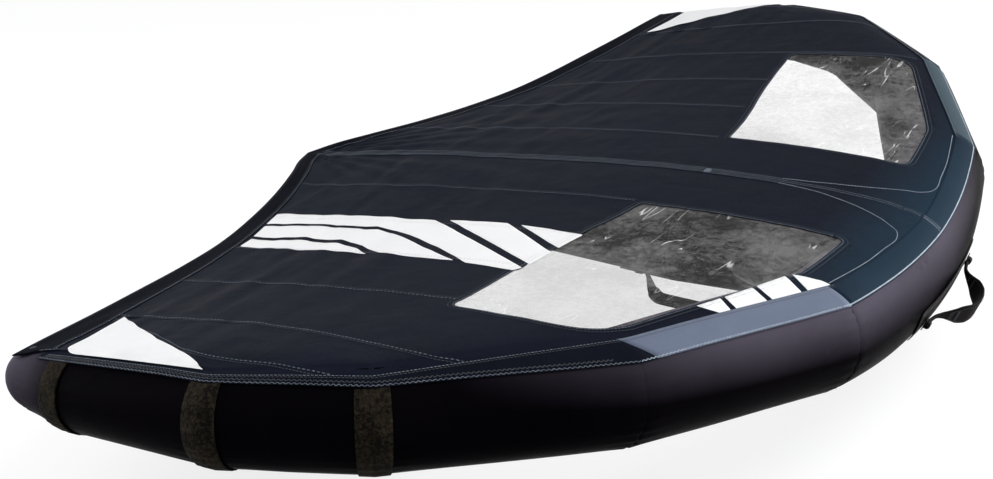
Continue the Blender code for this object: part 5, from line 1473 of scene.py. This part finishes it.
def strut_handle_pieces():
    level = min(point.z for _, centre in STRUT_HANDLES for point in strut_axis(centre)) - HANDLE_DEPTH
    for label, centre in STRUT_HANDLES:
        body = "strut_handle_" + label
        front, rear = strut_axis(centre)
        handle_strap(body, label, front, rear, level)
        along = (rear - front).normalized()
        outward = along.cross(RIGHT).normalized()
        outward = outward if outward.z < 0.0 else -outward
        keeper_pieces(body + "_keeper_a", front, along, outward)
        keeper_pieces(body + "_keeper_b", rear, along, outward)
        low = strut_place(centre * CHORD - 0.5 * HANDLE_LENGTH - HANDLE_PATCH_END)
        high = strut_place(centre * CHORD + 0.5 * HANDLE_LENGTH + HANDLE_PATCH_END)

        def place(a, b):
            turn = 270.0 + HANDLE_PATCH_DEGREES * b
            return strut_point(low + (high - low) * 0.5 * (a + 1.0), turn, LAP_GAP + 0.5 * PATCH_WALL)

        sewn_patch(body + "_patch", place, HANDLE_LENGTH + 2.0 * HANDLE_PATCH_END, HANDLE_PATCH_WIDTH)


front_handle_pieces()
strut_handle_pieces()


# Hose, zip and the moulded parts

HOSE_ROOT, HOSE_DEGREES, HOSE_END = 0.24, 335.0, -0.755
HOSE_LIFT, HOSE_STRAIGHT = 0.055, 0.01
HOSE_RADIUS, HOSE_GROOVE, HOSE_WALL = 0.0075, 0.0004, 0.0015


def hose_piece():
    """A ribbed hose that bends from its collar on the nose tube to the one on the strut."""
    start, above = [tube_point(HOSE_ROOT, HOSE_DEGREES, lift, -1) for lift in (LAP_GAP, HOSE_LIFT)]
    place = strut_place(HOSE_END * CHORD)
    finish, beyond = [strut_point(place, 180.0, lift) for lift in (LAP_GAP, HOSE_LIFT)]
    first = start + (above - start).normalized() * HOSE_STRAIGHT
    last = finish + (beyond - finish).normalized() * HOSE_STRAIGHT
    path = [start]
    for part in steps(0.0, 1.0, 60):
        rest = 1.0 - part
        path.append(first * rest ** 3 + above * (3 * rest ** 2 * part) + beyond * (3 * rest * part ** 2)
                    + last * part ** 3)
    path.append(finish)
    heap = Heap()
    rows, across = [], RIGHT.copy()
    for index, point in enumerate(path):
        along = heading(path, index)
        across = (across - along * across.dot(along)).normalized()
        other = along.cross(across)
        radius = HOSE_RADIUS - (HOSE_GROOVE if 4 < index < len(path) - 5 and index % 2 else 0.0)
        rows.append([point + (across * math.cos(turn) + other * math.sin(turn)) * radius
                     for turn in steps(0.0, 2.0 * math.pi, 32)[:-1]])
    heap.add([point for row in rows for point in row], grid_faces(len(rows), 32, True))
    heap.piece("feed_hose", RUBBER, slot="hose", stands_for=["connecting_hose"], thickness=HOSE_WALL,
               offset=-1.0)


ZIP_PLACES, ZIP_DEGREES, ZIP_HALF = (1.18, 1.84), 285.0, 0.012
ZIP_LIFT = LAP_GAP + 0.0006


def zip_turn(place, across):
    """The angle on the tube of a distance across the zip's tape."""
    return ZIP_DEGREES + math.degrees(across / tube_centre(place)[1])


def zip_pieces():
    first, last = ZIP_PLACES
    heap, teeth, threads = Heap(), Heap(), Heap()
    heap.strip([[tube_point(place, zip_turn(place, across), ZIP_LIFT)
                 for across in steps(-ZIP_HALF, ZIP_HALF, 10)]
                for place in steps(first, last, 60)])
    cloth = heap.piece("zip_cloth", WEBBING, slot="webbing", stands_for=["zip_tape"], thickness=0.001,
                       offset=0.0)
    middle = tube_track(first + 0.01, last - 0.01, lambda place: ZIP_DEGREES, ZIP_LIFT + STITCH_LIFT, 1)
    marks = resampled(middle, 0.0016)
    for index in range(len(marks) - 1):
        point, normal = marks[index]
        side = normal.cross(marks[index + 1][0] - point).normalized() * (0.0019 if index % 2 else -0.0019)
        teeth.stitch(point - side * 0.2, point + side, normal, 0.0011, 0.0008)
    teeth.piece("zip_teeth", PLASTIC)
    for across in (-0.0085, 0.0085):
        threads.sew(tube_track(first + 0.005, last - 0.005, lambda place: zip_turn(place, across),
                               ZIP_LIFT + STITCH_LIFT, 1))
    threads.piece("zip_stitches", THREAD_DARK)


hose_piece()
zip_pieces()
MOULDED = {name: PLASTIC for name in ("valve_body", "valve_cap", "hose_collar_tube", "hose_collar_strut",
                                      "hose_clip", "hose_clip_lever")}
MOULDED.update(valve_plunger=SILICONE, zip_slider=METAL)
for name, look in MOULDED.items():
    NODES[name].material_slots[0].material = look


# Camera, floor and light

CAMERA_PLACE = Vector((-1.7017, -1.3228, 0.7575))  # in chords from the trailing edge's middle
CAMERA_RIGHT, CAMERA_FORWARD = Vector((0.49612, -0.86825, 0.0)), Vector((0.79876, 0.45641, -0.39201))
LENS, SENSOR_WIDTH = 50.755, 36.0
FLOOR_REACH, FLOOR_GLOW, WORLD_STRENGTHS = 14.0, 0.76, (0.45, 1.0)
# Name, place, target, size and power of each lamp
LAMPS = (
    ("key", (0.6, -2.2, 3.6), (0.0, -0.1, 0.15), 2.6, 70.0),
    ("fill", (-3.2, 1.2, 3.0), (0.0, 0.0, 0.1), 3.0, 40.0),
    ("side", (3.5, -2.4, 0.5), (0.2, -0.6, 0.2), 1.0, 60.0),
    ("front", (1.3, -4.2, 1.4), (-0.6, -0.5, 0.2), 1.2, 90.0),
    ("back", (-2.4, 3.9, 1.1), (-1.0, 0.2, 0.2), 1.2, 70.0),
)


def camera_and_light():
    scene = bpy.context.scene
    scene.view_settings.view_transform = "Standard"
    lens = bpy.data.cameras.new("camera")
    lens.lens, lens.sensor_width = LENS, SENSOR_WIDTH
    camera = bpy.data.objects.new("camera", lens)
    scene.collection.objects.link(camera)
    turn = Matrix((CAMERA_RIGHT, CAMERA_RIGHT.cross(CAMERA_FORWARD), -CAMERA_FORWARD)).transposed().to_4x4()
    camera.matrix_world = Matrix.Translation(CAMERA_PLACE * CHORD + STAND) @ turn
    scene.camera = camera
    floor()
    scene.world = world_look()
    for settings in LAMPS:
        lamp(*settings)


def floor():
    mesh = bpy.data.meshes.new("floor")
    corners = ((-1, -1), (1, -1), (1, 1), (-1, 1))
    mesh.from_pydata([(x * FLOOR_REACH, y * FLOOR_REACH, 0.0) for x, y in corners], [], [(0, 1, 2, 3)])
    mesh.materials.append(floor_look())
    item = bpy.data.objects.new("floor", mesh)
    bpy.context.scene.collection.objects.link(item)


def seen_rays(tree):
    """One for a ray that shows what it meets straight, mirrored or through film, else zero."""
    path = tree.node("ShaderNodeLightPath").outputs
    straight = tree.math("MAXIMUM", path["Is Camera Ray"], path["Is Glossy Ray"])
    return tree.math("MAXIMUM", straight, path["Is Transmission Ray"])


def floor_look():
    """Pale floor: white where it is seen, darkened a little where the wing shades it."""
    look = new_look("floor", (0.3, 0.3, 0.31), 0.9, gloss=0.0)
    tree = Tree(look)
    plain = tree.shader.outputs[0]
    glow = tree.node("ShaderNodeEmission", {"Strength": FLOOR_GLOW}).outputs[0]
    both = tree.node("ShaderNodeAddShader", {0: plain, 1: glow}).outputs[0]
    seen = tree.node("ShaderNodeMixShader", {0: seen_rays(tree), 1: plain, 2: both}).outputs[0]
    tree.links.new(seen, tree.nodes["Material Output"].inputs["Surface"])
    return look


def world_look():
    """White where it is seen, dimmer as a light."""
    world = bpy.data.worlds.new("world")
    world.use_nodes = True
    tree = Tree(world)
    back = tree.nodes["Background"]
    back.inputs["Color"].default_value = (1.0, 1.0, 1.0, 1.0)
    tree.links.new(tree.ramp(seen_rays(tree), 0.0, 1.0, *WORLD_STRENGTHS), back.inputs["Strength"])
    return world


def lamp(name, place, target, size, power):
    light = bpy.data.lights.new(name, "AREA")
    light.shape = "DISK"
    light.size = size
    light.energy = power
    item = bpy.data.objects.new(name, light)
    bpy.context.scene.collection.objects.link(item)
    item.location = place
    item.rotation_mode = "QUATERNION"
    item.rotation_quaternion = (Vector(target) - Vector(place)).to_track_quat("-Z", "Y")


camera_and_light()

min(SKIN_AREA, 2.9)
